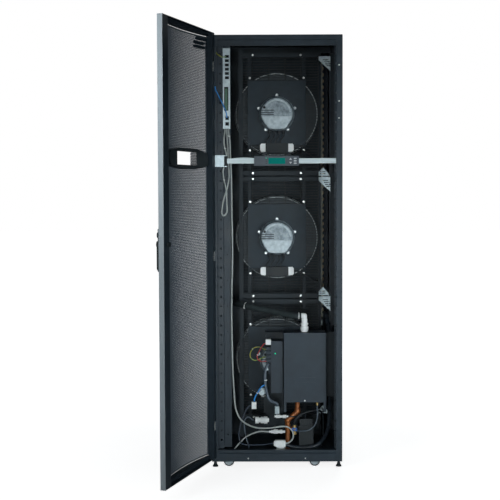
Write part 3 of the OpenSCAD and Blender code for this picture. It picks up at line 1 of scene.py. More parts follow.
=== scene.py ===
import math
import bpy
import numpy as np
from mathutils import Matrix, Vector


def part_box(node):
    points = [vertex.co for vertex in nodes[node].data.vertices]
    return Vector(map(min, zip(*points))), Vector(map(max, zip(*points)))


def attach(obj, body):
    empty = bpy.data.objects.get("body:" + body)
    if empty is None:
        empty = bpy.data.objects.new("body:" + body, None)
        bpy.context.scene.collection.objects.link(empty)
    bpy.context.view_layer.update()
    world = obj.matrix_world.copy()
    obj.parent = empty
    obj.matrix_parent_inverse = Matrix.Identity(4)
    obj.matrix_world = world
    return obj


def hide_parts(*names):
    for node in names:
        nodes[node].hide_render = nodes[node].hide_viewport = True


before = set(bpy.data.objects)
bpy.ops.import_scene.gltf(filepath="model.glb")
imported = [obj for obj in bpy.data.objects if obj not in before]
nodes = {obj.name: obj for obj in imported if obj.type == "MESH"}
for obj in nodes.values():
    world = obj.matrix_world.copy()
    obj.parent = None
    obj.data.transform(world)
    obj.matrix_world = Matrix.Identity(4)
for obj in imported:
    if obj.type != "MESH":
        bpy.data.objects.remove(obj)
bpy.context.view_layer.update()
from types import SimpleNamespace
from mathutils import Matrix, Vector

# In row cooling unit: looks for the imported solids, +X right, +Y to the back, +Z up
# Blender works in metres, and every place written here in mm is divided by mmPerMetre
mmPerMetre = 1000
print("frame loaded:", len(nodes), "nodes")

# Camera: turned to the left about Z, then tilted down, then rolled, all in degrees
cameraSettings = {"place": (-0.09575, -5.56926, 1.27637), "lens": 80.05, "sensor": 36, "farClip": 100,
    "down": 3.013, "left": 0.296, "roll": -0.19}
cameraData = bpy.data.cameras.new("studioCamera")
cameraData.lens = cameraSettings["lens"]
cameraData.sensor_width = cameraSettings["sensor"]
cameraData.clip_end = cameraSettings["farClip"]
camera = bpy.data.objects.new("studioCamera", cameraData)
bpy.context.scene.collection.objects.link(camera)
camera.matrix_world = (Matrix.Translation(cameraSettings["place"])
    @ Matrix.Rotation(math.radians(cameraSettings["left"]), 4, "Z")
    @ Matrix.Rotation(math.radians(90 - cameraSettings["down"]), 4, "X")
    @ Matrix.Rotation(math.radians(cameraSettings["roll"]), 4, "Z"))
bpy.context.scene.camera = camera
print("camera placed")

# A hex code's three sRGB values, turned to linear ones by the standard curve
def fromHex(code):
    c = [int(code[i:i + 2], 16) / 255 for i in (1, 3, 5)]
    return tuple(v / 12.92 if v <= 0.04045 else ((v + 0.055) / 1.055) ** 2.4 for v in c) + (1.0,)

# Adds one node: values go to its sockets or else to its own properties, links are (node, from socket, to socket)
def addNode(tree, kind, links=(), **values):
    node = tree.nodes.new(kind)
    for key, value in values.items():
        if key in node.inputs:
            node.inputs[key].default_value = value
        else:
            setattr(node, key, value)
    for source, socket, target in links:
        tree.links.new(source.outputs[socket], node.inputs[target])
    return node

# Every finish: two close colours mixed by a noise, a roughness that wanders with it, and a fine bump.
# patch and grain are noise scales per metre, so patch 18 is a cloud of 56 mm and grain 1400 a pimple of 0.7 mm;
# depth is the bump's height in metres, stretch makes the noise longer along an axis where it is below 1
finishDefaults = {"base": "#808080", "second": None, "rough": (0.4, 0.5), "metal": 0.0, "patch": 18.0,
    "stretch": (1, 1, 1), "grain": 900.0, "bump": 0.15, "depth": 0.0003, "coat": 0.0, "glow": 0.0, "gloss": 0.5,
    "colourEnds": (0.35, 0.68), "roughEnds": (0.3, 0.7), "patchDetail": 5.0, "grainDetail": 2.0}

def makeFinish(name, **given):
    s = dict(finishDefaults, **given)
    mat = bpy.data.materials.new(name)
    mat.use_nodes = True
    tree = mat.node_tree
    shader = tree.nodes["Principled BSDF"]
    place = addNode(tree, "ShaderNodeTexCoord")
    turned = addNode(tree, "ShaderNodeMapping", [(place, "Object", "Vector")], Scale=s["stretch"])
    patches = addNode(tree, "ShaderNodeTexNoise", [(turned, "Vector", "Vector")],
        Scale=s["patch"], Detail=s["patchDetail"])
    ramp = addNode(tree, "ShaderNodeValToRGB", [(patches, "Fac", "Fac")])
    for stop, position, colour in zip(ramp.color_ramp.elements, s["colourEnds"], (s["base"], s["second"] or s["base"])):
        stop.position = position
        stop.color = fromHex(colour)
    tree.links.new(ramp.outputs["Color"], shader.inputs["Base Color"])
    wander = addNode(tree, "ShaderNodeMapRange", [(patches, "Fac", "Value")])
    wander.inputs["From Min"].default_value, wander.inputs["From Max"].default_value = s["roughEnds"]
    wander.inputs["To Min"].default_value, wander.inputs["To Max"].default_value = s["rough"]
    tree.links.new(wander.outputs["Result"], shader.inputs["Roughness"])
    shader.inputs["Metallic"].default_value = s["metal"]
    shader.inputs["Coat Weight"].default_value = s["coat"]
    shader.inputs["Specular IOR Level"].default_value = s["gloss"]
    fine = addNode(tree, "ShaderNodeTexNoise", [(turned, "Vector", "Vector")],
        Scale=s["grain"], Detail=s["grainDetail"])
    relief = addNode(tree, "ShaderNodeBump", [(fine, "Fac", "Height")], Strength=s["bump"], Distance=s["depth"])
    tree.links.new(relief.outputs["Normal"], shader.inputs["Normal"])
    if s["glow"]:
        shader.inputs["Emission Color"].default_value = fromHex(s["base"])
        shader.inputs["Emission Strength"].default_value = s["glow"]
    return mat

finishes = {
    # Powder coat on steel: satin blue-black with a fine even pimple
    "powderCoat": makeFinish("satinBlackPowderCoat", base="#26313a", second="#2c3842", rough=(0.36, 0.46),
        grain=1400, bump=0.22, gloss=0.25),
    # The same powder coat on the door's inner side, a shade darker: painted shade
    "doorCoatPaintedShade": makeFinish("doorPowderCoatPaintedShade", base="#202a32", second="#26313a", rough=(0.38, 0.48),
        grain=1400, bump=0.22, gloss=0.25),
    # Powder coat on the bulkhead: the darkest sheet, dull, painted shade so that the fans stand out
    "bulkheadCoatPaintedShade": makeFinish("bulkheadPowderCoatPaintedShade", base="#1a2329", second="#202a31", rough=(0.42, 0.52),
        grain=1200, bump=0.2, gloss=0.2),
    # Powder coat on the motors' plates: painted shade between bulkhead and cabinet, a little coarser
    "plateCoatPaintedShade": makeFinish("motorPlatePowderCoatPaintedShade", base="#232e36", second="#28343d", rough=(0.42, 0.52),
        grain=1200, bump=0.25, gloss=0.2),
    # Textured powder coat on the humidifier: the palest dark sheet, matt
    "housingCoat": makeFinish("humidifierPowderCoat", base="#2d3740", second="#323d47",
        rough=(0.42, 0.52), grain=1100, bump=0.3, gloss=0.25),
    # Zinc-coated sheet: pale blue-grey with a fine cloudy spangle
    "zincSheet": makeFinish("zincCoatedSheet", base="#98a6ac", second="#b4c0c4", rough=(0.32, 0.46),
        metal=0.45, patch=60, grain=300, bump=0.08),
    # Aluminium fins seen end on: dull, warm grey, uneven
    "finSheet": makeFinish("coilFinSheet", base="#8f918a", second="#b9b6a8", rough=(0.4, 0.5), metal=0.3,
        patch=90, grain=300, bump=0.08),
    # Brushed steel: pale, with lines along the arm
    "armSteel": makeFinish("brushedArmSteel", base="#9eabaf", second="#b6c1c4", rough=(0.34, 0.44),
        metal=0.3, patch=40, stretch=(0.2, 4, 14), grain=500, bump=0.12),
    # Bright plated screws: near white small highlights
    "screwSteel": makeFinish("brightScrewSteel", base="#ced3d3", second="#e6e8e6", rough=(0.22, 0.32),
        metal=0.3, patch=90),
    # Pale satin grey on the door's edge trim, drawn along its height: a painted reflection of the light on the black
    # edge
    "trimPaintedReflection": makeFinish("edgeTrimPaintedReflection", base="#8d959b", second="#9fa7ad", rough=(0.34, 0.42),
        metal=0.3, patch=12, stretch=(1, 1, 0.15), grain=600, bump=0.08),
    # Die-cast aluminium: mid grey, blotched and slightly rough
    "castAluminium": makeFinish("castMotorAluminium", base="#66737b", second="#97a4ab", rough=(0.38, 0.5),
        metal=0.2, patch=70, grain=700, bump=0.35, depth=0.0005),
    # The same casting where it stands forward: paler, a painted highlight where it catches the light
    "castPaintedHighlight": makeFinish("castMotorCoverPaintedHighlight", base="#94a1a8", second="#b4c0c6",
        rough=(0.34, 0.46), metal=0.2, patch=60, grain=700, bump=0.3, depth=0.0004),
    # The casting's slots and steps: painted shade, dark, as the light doesn't reach in
    "casingGrooveShade": makeFinish("motorCasingPaintedShade", base="#2b3338", second="#3d474d", rough=(0.5, 0.6),
        grain=700, bump=0.2),
    # Painted sheet of the impeller's front disc: dull near black
    "discCoat": makeFinish("impellerDiscSheet", base="#232c31", second="#2b353b", rough=(0.42, 0.55),
        grain=800, bump=0.2, gloss=0.3),
    # Bare spun aluminium: patches from grey to bright round the rim
    "rimAluminium": makeFinish("impellerRimAluminium", base="#5f696e", second="#bcc2c3",
        rough=(0.28, 0.42), metal=0.3, patch=160, bump=0.15),
    # Dipped coat on guard wire: black with a thin highlight
    "wireCoat": makeFinish("guardWireCoating", base="#151b1f", second="#20272c", rough=(0.3, 0.4),
        patch=60, gloss=0.3),
    # Closed-cell foam: soft black with no highlight and an open, pitted skin
    "foamHose": makeFinish("closedCellFoamHose", base="#262d2f", second="#30383a", rough=(0.75, 0.9),
        patch=40, grain=500, bump=0.5, depth=0.0008, gloss=0.2),
    # Split nylon loom: glossy black ribs
    "loomPlastic": makeFinish("splitLoomPlastic", base="#1f262c", second="#343d47", rough=(0.25, 0.4),
        patch=50, bump=0.2, coat=0.15),
    # Moulded ABS: plain near black with a fine spark texture
    "blackPlastic": makeFinish("mouldedBlackPlastic", base="#1c2226", second="#22292d",
        rough=(0.45, 0.55), grain=1000, bump=0.3, gloss=0.3),
    # Inside of ports and unlit lamps: almost black
    "portDark": makeFinish("portInside", base="#0d1012", second="#161b1e", rough=(0.5, 0.6), gloss=0.2),
    # Moulded ABS in slate grey: matt and even
    "greyPlastic": makeFinish("slateDisplayPlastic", base="#454d56", second="#4d565f", rough=(0.4, 0.48),
        grain=1300, bump=0.25, gloss=0.3),
    # Silicone rubber: pale grey and matt
    "paleKey": makeFinish("paleKeyRubber", base="#b3babd", second="#c4cacc", rough=(0.5, 0.6)),
    # Liquid crystal pane: dark green, lit a little from inside
    "screenGreen": makeFinish("liquidCrystalPane", base="#015e57", second="#04716a", rough=(0.6, 0.66),
        patch=300, bump=0.02, glow=0.4, gloss=0.05),
    # White polypropylene fittings: clean and slightly glossy
    "whitePlastic": makeFinish("whiteFittingPlastic", base="#e9eded", second="#f4f6f6",
        rough=(0.32, 0.42), patch=40, bump=0.1),
    # Grey PVC jacket: pale and smooth
    "jacketGrey": makeFinish("greyCableJacket", base="#a3abaa", second="#b4bab8", rough=(0.4, 0.5),
        patch=50, bump=0.12),
    # Black PVC jacket: smooth, with a soft highlight along its length
    "jacketBlack": makeFinish("blackCableJacket", base="#171c20", second="#22292e", rough=(0.35, 0.5),
        patch=60, bump=0.15, gloss=0.4),
    # Bright blue PVC jacket
    "jacketBlue": makeFinish("blueCableJacket", base="#1a7fd2", second="#2e92e0", rough=(0.35, 0.45),
        patch=60, bump=0.1),
    # Dark blue PVC jacket
    "jacketNavy": makeFinish("darkBlueCableJacket", base="#26323f", second="#303f52", rough=(0.35, 0.45),
        patch=60, bump=0.1),
    # Red PVC lead
    "jacketRed": makeFinish("redLeadJacket", base="#b8343a", second="#c8474a", rough=(0.35, 0.45),
        patch=80, bump=0.1),
    # Green and yellow PVC earth lead: yellow runs along it in streaks
    "jacketGreen": makeFinish("greenYellowLeadJacket", base="#2f7a4c", second="#c4b940",
        rough=(0.35, 0.45), patch=70, stretch=(1, 1, 0.35), bump=0.1),
    # Grey-blue PVC jacket: dark and smooth
    "jacketSteel": makeFinish("greyBlueLeadJacket", base="#465360", second="#566471", rough=(0.35, 0.45),
        patch=60, bump=0.1),
    # Yellow nylon sleeve on the earth lug
    "yellowLug": makeFinish("yellowLugSleeve", base="#d8c030", second="#e0cc50", rough=(0.35, 0.45)),
    # Dipped vinyl sleeve: saturated blue with a gloss coat
    "blueHandle": makeFinish("blueHandleSleeve", base="#0f5cb4", second="#186ac6", rough=(0.3, 0.4),
        bump=0.08, coat=0.2),
    # Copper tube, handled and soldered: brown to orange, half dull
    "copper": makeFinish("solderedCopperTube", base="#7a4628", second="#b5713f", rough=(0.32, 0.5),
        metal=0.5, patch=60, bump=0.15),
    # Copper bends of a coil: paler and greyer than the tube copper, painted light that makes the bends read bright
    "bendCopperPaintedLight": makeFinish("coilBendCopper", base="#8d7c62", second="#cbbb98", rough=(0.38, 0.5),
        metal=0.25, patch=150, bump=0.2),
    # Plain brass: yellow-brown, lightly tarnished
    "brass": makeFinish("plainBrass", base="#a58a52", second="#c2a566", rough=(0.28, 0.4), metal=0.5, patch=80),
    # Rubber: black, dull, slightly rough
    "tyreRubber": makeFinish("tyreRubber", base="#181c1f", second="#20262a", rough=(0.6, 0.75), patch=60,
        bump=0.3, gloss=0.3),
    # Grey nylon hub: pale and even
    "hubPlastic": makeFinish("greyHubPlastic", base="#aab4ba", second="#bcc5ca", rough=(0.35, 0.45), patch=60),
    # Filter paper: off-white, fibrous, with no highlight
    "filterPaper": makeFinish("pleatedFilterMedium", base="#c9ccc8", second="#dcdedb", rough=(0.85, 0.95),
        patch=60, grain=700, bump=0.6, depth=0.0008),
    # Green terminal block: matt polyamide
    "boardGreen": makeFinish("terminalBlockGreen", base="#2d5a44", second="#37664e", rough=(0.4, 0.5)),
    # Lit lamp: green that glows
    "ledGreen": makeFinish("litGreenLamp", base="#19c08a", rough=(0.2, 0.3), glow=1.5),
    # Powder coat on perforated sheet: drawn paler than the door, a painted highlight for its holes' edges that catch
    # light
    "meshCoatPaintedHighlight": makeFinish("perforatedSheetPaintedHighlight", base="#535c65", second="#5d6670", rough=(0.38, 0.48),
        patch=8, grain=1200, bump=0.1, gloss=0.3),
}
print("finishes made:", len(finishes))

# Per polygon in mm: centre, normal, its own lowest and highest corner, and those of the whole solid that it is on
def extents(mesh):
    count, corners = len(mesh.polygons), len(mesh.vertices)
    c, n = np.empty(count * 3, np.float32), np.empty(count * 3, np.float32)
    v = np.empty(corners * 3, np.float32)
    starts, totals = np.empty(count, np.int32), np.empty(count, np.int32)
    loops = np.empty(len(mesh.loops), np.int32)
    mesh.polygons.foreach_get("center", c)
    mesh.polygons.foreach_get("normal", n)
    mesh.polygons.foreach_get("loop_start", starts)
    mesh.polygons.foreach_get("loop_total", totals)
    mesh.loops.foreach_get("vertex_index", loops)
    mesh.vertices.foreach_get("co", v)
    v = v.reshape(-1, 3) * mmPerMetre
    lo, hi = np.minimum.reduceat(v[loops], starts), np.maximum.reduceat(v[loops], starts)
    owner = np.repeat(np.arange(count), totals)
    places = np.round(v * 100).astype(np.int64)  # corners within 0.01 mm are one corner
    same = np.unique(places, axis=0, return_inverse=True)[1].ravel()[loops]
    label = np.arange(count)
    while True:  # the lowest label spreads over shared corners until nothing changes
        spot = np.full(same.max() + 1, count)
        np.minimum.at(spot, same, label[owner])
        new = np.minimum.reduceat(spot[same], starts)
        new = new[new]
        if (new == label).all():
            break
        label = new
    solidLo, solidHi = np.full((count, 3), np.inf), np.full((count, 3), -np.inf)
    np.minimum.at(solidLo, label, lo)
    np.maximum.at(solidHi, label, hi)
    return SimpleNamespace(c=c.reshape(-1, 3) * mmPerMetre, n=n.reshape(-1, 3), lo=lo, hi=hi,
        solidLo=solidLo[label], solidHi=solidHi[label])

# Gives a node its first finish, then each rule's finish where its test on the extents is true
def dress(nodeName, first, *rules):
    mesh = nodes[nodeName].data
    mesh.materials.clear()
    mesh.materials.append(finishes[first])
    if not rules:
        return
    e = extents(mesh)
    picks = np.zeros(len(mesh.polygons), np.int32)
    for i, (finish, test) in enumerate(rules):
        mesh.materials.append(finishes[finish])
        picks[test(e)] = i + 1
    mesh.polygons.foreach_set("material_index", picks)

# Boxes in mm, as x, y and z from and to, each round one part of a node
partBoxes = {
    "earthLug": (-286, -272, -468, -458, 1934, 1952), "cableClip": (-283, -271, -507, -498, 1750, 1762),
    "controllerPorts": (-243.9, -211.1, -455.5, -431, 1565, 1928),
    "controllerTerminals": (-236, -222, -454.2, -451.9, 1649, 1750),
    "powerSocket": (-50.5, -26, -392, -354, 558, 584), "powerTerminals": (-49, -26.1, -388, -358, 473, 548),
    "powerBracket": (-49, -26.1, -384, -378, 419, 471), "discCoupling": (-90, -50, -335, -304, 300, 350),
    "solenoid": (-9, 13, -412, -390, 233, 272), "couplingNut": (-107, -99.5, -417, -383, 188, 222),
    "screen": (-37, 40, -497.4, -496, 1401, 1429)}
boxMargin = 0.05

# Low < low corner and high corner < high, for the polygon itself or for the solid that it is on
def within(e, part, whole=False):
    low, high = np.array(partBoxes[part][::2]) - boxMargin, np.array(partBoxes[part][1::2]) + boxMargin
    lo, hi = (e.solidLo, e.solidHi) if whole else (e.lo, e.hi)
    return (lo > low).all(1) & (hi < high).all(1)

# Sheet metal and the plain pieces
for name in ("frame", "mounting_rails", "side_panel_left", "side_panel_right", "roof_panel", "base_tray", "rear_door"):
    dress(name, "powderCoat")
for name in ("fan_deck", "fan_rails", "service_plate"):
    # the bulkhead sheets take the darkest copy of the coat, painted shade
    dress(name, "bulkheadCoatPaintedShade")
for name in ("castor_mounts", "swivel_front_left", "swivel_front_right", "coil_gussets", "drip_tray", "arm_bracket"):
    dress(name, "zincSheet")
for name in ("display_shroud", "front_handle", "rear_handle", "condensate_pump", "levelling_feet"):
    dress(name, "blackPlastic")
for name in ("key_up", "key_down", "key_escape", "key_help", "key_enter"):
    dress(name, "paleKey")
# the motor plates take a darker copy of the coat, painted shade
dress("motor_plates", "plateCoatPaintedShade")
# the door takes the darker copy of the powder coat, painted shade
dress("front_door", "doorCoatPaintedShade")
# the door's edge trim takes the painted reflection
dress("door_edge_trim", "trimPaintedReflection")
dress("humidifier", "housingCoat")
dress("valve_handle", "blueHandle")
dress("coil_fins", "finSheet")

# Fans: places in mm, y measured as in the cabinet, plug and skirt measured from the shaft
fanSettings = {"x": 7, "plateY": -209, "heights": (1646, 1054, 462), "glands": (-36, -14, 10, 32),
    "plugX": -60, "plugZ": 30, "plugRadius": 8, "plugFront": -246, "skirtTop": -77.5, "skirtBack": -233,
    "raisedFront": -250.8, "grooveFront": -253.2, "grooveFloor": -243.2, "grooveBack": -242.8, "discBack": -187.5,
    "facing": 0.9, "sideways": 0.6}

def casingPlastic(e, fanZ):  # the plug and the skirt with the cable glands
    s = fanSettings
    x, y, z = e.c[:, 0] - s["x"], e.c[:, 1], e.c[:, 2] - fanZ
    plug = (e.hi[:, 1] < s["plugFront"]) & (np.hypot(x - s["plugX"], z - s["plugZ"]) < s["plugRadius"])
    return plug | ((z < s["skirtTop"]) & (y > s["skirtBack"]))

# the foremost faces of the casing take the painted highlight
def casingHighlightFaces(e):  # the foremost faces
    return (e.hi[:, 1] < fanSettings["raisedFront"]) & (e.n[:, 1] < -fanSettings["facing"])

# the slots' floors and the steps get the painted shade of the recesses
def casingShadeFaces(e):  # the slots' floors and the steps round the raised cover and arc
    s = fanSettings
    ahead = e.hi[:, 1] < s["grooveBack"]
    step = (np.abs(e.n[:, 1]) < s["sideways"]) & (e.lo[:, 1] > s["grooveFront"]) & ahead
    return step | ahead & (e.lo[:, 1] > s["grooveFloor"])

for i, fanZ in enumerate(fanSettings["heights"], 1):
    dress(f"fan_guard_{i}", "wireCoat")
    dress(f"fan_motor_{i}", "castAluminium", ("castPaintedHighlight", casingHighlightFaces), ("casingGrooveShade", casingShadeFaces),
        ("blackPlastic", lambda e: casingPlastic(e, fanZ)))
    dress(f"impeller_{i}", "discCoat", ("rimAluminium", lambda e: e.c[:, 1] > fanSettings["discBack"]))
dress("fan_connectors", "blackPlastic",  # the white blocks stand at either side of the middle strip
    ("whitePlastic", lambda e: (e.solidLo[:, 0] > fanSettings["x"]) | (e.solidHi[:, 0] < fanSettings["x"])))

# Pieces of more than one material, with the places in mm where the second one starts
splitSettings = {"armClipX": -221.9, "headerY": 200, "pleatHalfX": 235.5, "pleatFront": 270.5, "pleatBack": 315.5,
    "pleatSlope": 0.5, "valveX": 62.5, "valveTop": 190, "inletStubX": 180, "controllerFront": -454.5,
    "tyreRadius": 19.3}

def filterPleats(e):
    s = splitSettings
    inside = (np.abs(e.c[:, 0]) < s["pleatHalfX"]) & (e.lo[:, 1] > s["pleatFront"]) & (e.hi[:, 1] < s["pleatBack"])
    return inside & (np.abs(e.n[:, 2]) < s["pleatSlope"])

def brassParts(e):
    valve = (e.lo[:, 0] > splitSettings["valveX"]) & (e.hi[:, 2] < splitSettings["valveTop"])
    return valve | (e.lo[:, 0] > splitSettings["inletStubX"])

dress("fasteners", "screwSteel", ("yellowLug", lambda e: within(e, "earthLug", True)),
    ("blackPlastic", lambda e: within(e, "cableClip", True)))
dress("display_arm", "armSteel", ("blackPlastic", lambda e: e.hi[:, 0] < splitSettings["armClipX"]))
dress("display_case", "greyPlastic", ("screenGreen", lambda e: within(e, "screen")))
# the coil's bends take the pale copper with painted light, the headers the plain copper
dress("coil_tubes", "bendCopperPaintedLight", ("copper", lambda e: e.c[:, 1] > splitSettings["headerY"]))
dress("air_filters", "blackPlastic", ("filterPaper", filterPleats))
dress("controller", "zincSheet",
    ("portDark", lambda e: within(e, "controllerPorts") & (e.hi[:, 1] > splitSettings["controllerFront"])),
    ("boardGreen", lambda e: within(e, "controllerTerminals")))
dress("power_box", "housingCoat", ("whitePlastic", lambda e: within(e, "powerSocket")),
    ("blackPlastic", lambda e: within(e, "powerTerminals")), ("zincSheet", lambda e: within(e, "powerBracket")))
dress("water_pipes", "copper", ("brass", brassParts))
dress("couplings", "whitePlastic",
    ("zincSheet", lambda e: within(e, "discCoupling", True) | within(e, "solenoid", True)),
    ("blackPlastic", lambda e: within(e, "couplingNut")))

def tyrePart(e, name):  # the front wheels' axles lie along Y, the rear ones' along X
    across = 0 if "front" in name else 1
    mid = [(a + b) / 2 * mmPerMetre for a, b in zip(*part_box(name))]
    return np.hypot(e.c[:, across] - mid[across], e.c[:, 2] - mid[2]) > splitSettings["tyreRadius"]

for name in ("wheel_front_left", "wheel_front_right", "wheel_rear_left", "wheel_rear_right"):
    dress(name, "hubPlastic", ("tyreRubber", lambda e: tyrePart(e, name)))
print("solids dressed")

# Makes a mesh piece in metres that rides on a body and takes the named finish
def addPiece(name, points, faces, finish, body, replaced=(), smooth=True):
    mesh = bpy.data.meshes.new(name)
    mesh.from_pydata(np.asarray(points, float).tolist(), [], [list(f) for f in faces])
    mesh.update()
    if smooth:
        mesh.polygons.foreach_set("use_smooth", np.ones(len(mesh.polygons), bool))
    mesh.materials.append(finishes[finish])
    piece = bpy.data.objects.new(name, mesh)
    bpy.context.scene.collection.objects.link(piece)
    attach(piece, body)
    if replaced:
        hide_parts(*replaced)
    return piece

# A curve through all points of a route: each span is a cubic whose slopes come from the neighbours (Catmull-Rom)
def smoothRoute(route, perSpan=6):
    p = np.asarray(route, float) / mmPerMetre
    p = np.vstack([2 * p[0] - p[1], p, 2 * p[-1] - p[-2]])
    t = np.linspace(0, 1, perSpan, endpoint=False)[None, :, None]
    a, b, c, d = p[:-3, None], p[1:-2, None], p[2:-1, None], p[3:, None]
    out = 0.5 * (2 * b + (c - a) * t + (2 * a - 5 * b + 4 * c - d) * t ** 2 + (3 * b - a - 3 * c + d) * t ** 3)
    return np.vstack([out.reshape(-1, 3), p[-2]])

# Faces of a grid of rows by cols points, closed round its columns; the rows close too if ring is true
def gridFaces(rows, cols, ring=False):
    i, k = np.meshgrid(np.arange(rows if ring else rows - 1), np.arange(cols), indexing="ij")
    nextI, nextK = (i + 1) % rows, (k + 1) % cols
    return i * cols + k, i * cols + nextK, nextI * cols + nextK, nextI * cols + k

# Tube: circles square to the path, point = path + r (cos a * side + sin a * up); r may change along the path
def tubeAlong(path, radius, sides=12):
    t = np.gradient(path, axis=0)
    t /= np.linalg.norm(t, axis=1)[:, None]
    side = np.cross(t, [0.31, 0.83, 0.46])  # any direction that no route here runs along
    for i in range(1, len(path)):  # carried along without twist
        side[i] = side[i - 1] - side[i - 1] @ t[i] * t[i]
    side[0] -= side[0] @ t[0] * t[0]
    side /= np.linalg.norm(side, axis=1)[:, None]
    up = np.cross(t, side)
    a = np.linspace(0, 2 * np.pi, sides, endpoint=False)[None, :, None]
    r = np.broadcast_to(radius, len(path))[:, None, None]
    rings = path[:, None] + r * (np.cos(a) * side[:, None] + np.sin(a) * up[:, None])
    faces = np.stack([f.ravel() for f in gridFaces(len(path), sides)], 1).tolist()
    last = (len(path) - 1) * sides
    faces += [list(range(sides))[::-1], list(range(last, last + sides))]
    return rings.reshape(-1, 3), faces

# Free cords: diameter and route in mm, from the controller down to the block on the base tray, and a tied hank
greyCable = {"piece": "greyControlCable", "node": "grey_cable", "diameter": 7, "route": [
    [-219, -443, 1563.6], [-219, -446, 1548], [-212, -452, 1499], [-211, -452, 1444], [-208, -452, 1384],
    [-206, -448, 1300], [-205, -444, 1168], [-203, -442, 1007], [-206, -441, 844], [-208, -440, 720],
    [-207, -440, 588], [-204, -440, 448], [-200, -442, 369], [-194, -446, 288], [-185, -450, 250],
    [-165, -454, 216], [-130, -458, 193], [-86, -460, 180], [-31, -462, 180], [15, -462, 187], [45, -460, 186],
    [66, -456, 172], [76, -453, 148], [72, -450, 124], [54, -448, 108], [41, -448, 105]]}
greyHank = {"piece": "greyCableHank", "node": "grey_hank", "diameter": 7, "route": [
    [-236, -443, 1563.2], [-236, -444, 1550], [-239, -463, 1522], [-239, -465, 1493], [-231, -465, 1457],
    [-226, -465, 1430], [-230, -465, 1412], [-239, -465, 1390], [-245, -465, 1366], [-240, -464, 1328],
    [-230, -462, 1284], [-228, -460, 1240], [-227, -460, 1190], [-232, -462, 1174], [-243, -465, 1166],
    [-251, -465, 1180], [-247, -465, 1215], [-239, -463, 1250], [-228, -458, 1285], [-220, -456, 1320],
    [-217, -449, 1352], [-219.5, -444, 1400], [-221, -444, 1440], [-224, -444, 1500], [-227.5, -443, 1550],
    [-227.5, -443, 1563.2]]}
for s in (greyCable, greyHank):
    path = smoothRoute(s["route"])
    points, faces = tubeAlong(path, s["diameter"] / 2 / mmPerMetre)
    piece = addPiece(s["piece"], points, faces, "jacketGrey", "cabinet", [s["node"]])
print("free cords laid")

# Fixed wiring and hoses, rounder than their solids: piece, node, diameter, finish and route in mm
fixedCords = [
    ("steamHose", "hoses", 30, "foamHose", [[116.7, -363, 692], [86, -363, 692], [41, -354, 700],
        [-29, -345, 715], [-95, -340, 727], [-138, -332, 736], [-168, -310, 741], [-190, -270, 742],
        [-205, -200, 742], [-212, -120, 742], [-214, -61, 742]]),
    ("mainLoom", "hoses", 19, "loomPlastic", [[248, -30, 668], [250, -80, 664], [255, -128, 640],
        [259, -166, 596], [260, -185, 529], [260, -195, 388], [259, -215, 300], [256, -265, 215],
        [248, -312, 155], [230, -360, 120], [206, -396, 98], [180, -414, 86], [145, -419, 79],
        [105, -419, 78], [70, -416, 83], [50, -412, 89], [36.4, -412, 89]]),
    ("drainHose", "hoses", 9, "jacketBlack", [[83, -413, 184.3], [83, -413.5, 196], [91, -415, 214],
        [111, -412, 232], [144, -405, 244], [180, -392, 248], [208, -370, 240], [220, -345, 218],
        [223, -330, 190], [223, -320, 150], [220, -315, 90], [220, -315, 64.8]]),
    ("waterCapillary", "hoses", 5, "jacketSteel", [[190, -400, 274.7], [190, -402, 262], [190, -412, 222],
        [178, -422, 186], [152, -424, 163], [123, -420, 157], [101, -413, 156], [91.3, -413, 156]]),
    ("pumpLead", "hoses", 6, "jacketBlack", [[54.3, -400, 222], [62, -400, 222], [90, -403, 223],
        [112, -396, 228], [130, -380, 226], [136, -372, 218], [136, -372, 207.3]]),
    ("greyBundle", "leads", 13, "jacketSteel", [[-38, -392, 470], [-50, -400, 452], [-54, -405, 420],
        [-53, -408, 377], [-45, -408, 330], [-33, -408, 302], [-14, -404, 290], [2, -401, 282],
        [2, -401, 270.4]]),
    ("redLead", "leads", 4.5, "jacketRed", [[-50.4, -380, 562], [-58, -380, 562], [-72, -390, 545],
        [-86, -396, 520], [-91, -397, 502], [-84, -396, 488], [-70, -390, 480], [-58, -384, 480],
        [-48.4, -384, 480]]),
    ("greenLead", "leads", 4.5, "jacketGreen", [[-48.4, -375, 535], [-56, -375, 535], [-80, -387, 548],
        [-108, -394, 543], [-123, -396, 520], [-120, -396, 498], [-100, -392, 486], [-76, -382, 492],
        [-58, -372, 499], [-48.4, -372, 499]]),
    ("blueStub", "leads", 6.6, "jacketBlue", [[-57, -412, 372], [-70, -416, 366], [-84, -416, 346],
        [-98, -415, 322], [-104, -414, 306], [-104, -414, 294.4]]),
    ("navyCable", "leads", 5.8, "jacketNavy", [[-118.2, -414, 272], [-125, -415, 276], [-138, -422, 266],
        [-151, -430, 240], [-167, -436, 200], [-177, -440, 150], [-172, -442, 114], [-155, -444, 100],
        [-111, -446, 98], [-60, -446, 99], [-26, -444, 103], [-14.4, -444, 103]]),
    ("sensorLead", "leads", 5.8, "jacketSteel", [[-106.9, -400, 205], [-114, -401, 207], [-128, -403, 219],
        [-142, -405, 218], [-152, -407, 196], [-150, -409, 160], [-142, -412, 120], [-131, -415, 86],
        [-130, -415, 64.8]]),
    ("returnLead", "leads", 6.8, "jacketGrey", [[-36.4, -410, 152], [-46, -411, 152], [-75, -418, 155],
        [-106, -424, 149], [-147, -430, 130], [-178, -434, 100], [-196, -438, 78], [-198, -438, 64.8]]),
    ("bluePatchLead", "leads", 5, "jacketBlue", [[-277, -502.9, 1751.6], [-276, -502.9, 1738],
        [-269, -502.9, 1724], [-261, -497, 1708], [-252, -486, 1690], [-242, -476, 1670],
        [-232, -468, 1646], [-227, -463, 1626], [-226, -458.3, 1614]]),
    ("earthLead", "leads", 4.8, "jacketGreen", [[-279, -462.9, 1937.6], [-278, -462.9, 1920],
        [-266, -463, 1900], [-250, -463.4, 1890], [-238, -460, 1889], [-229, -458.2, 1891]]),
]

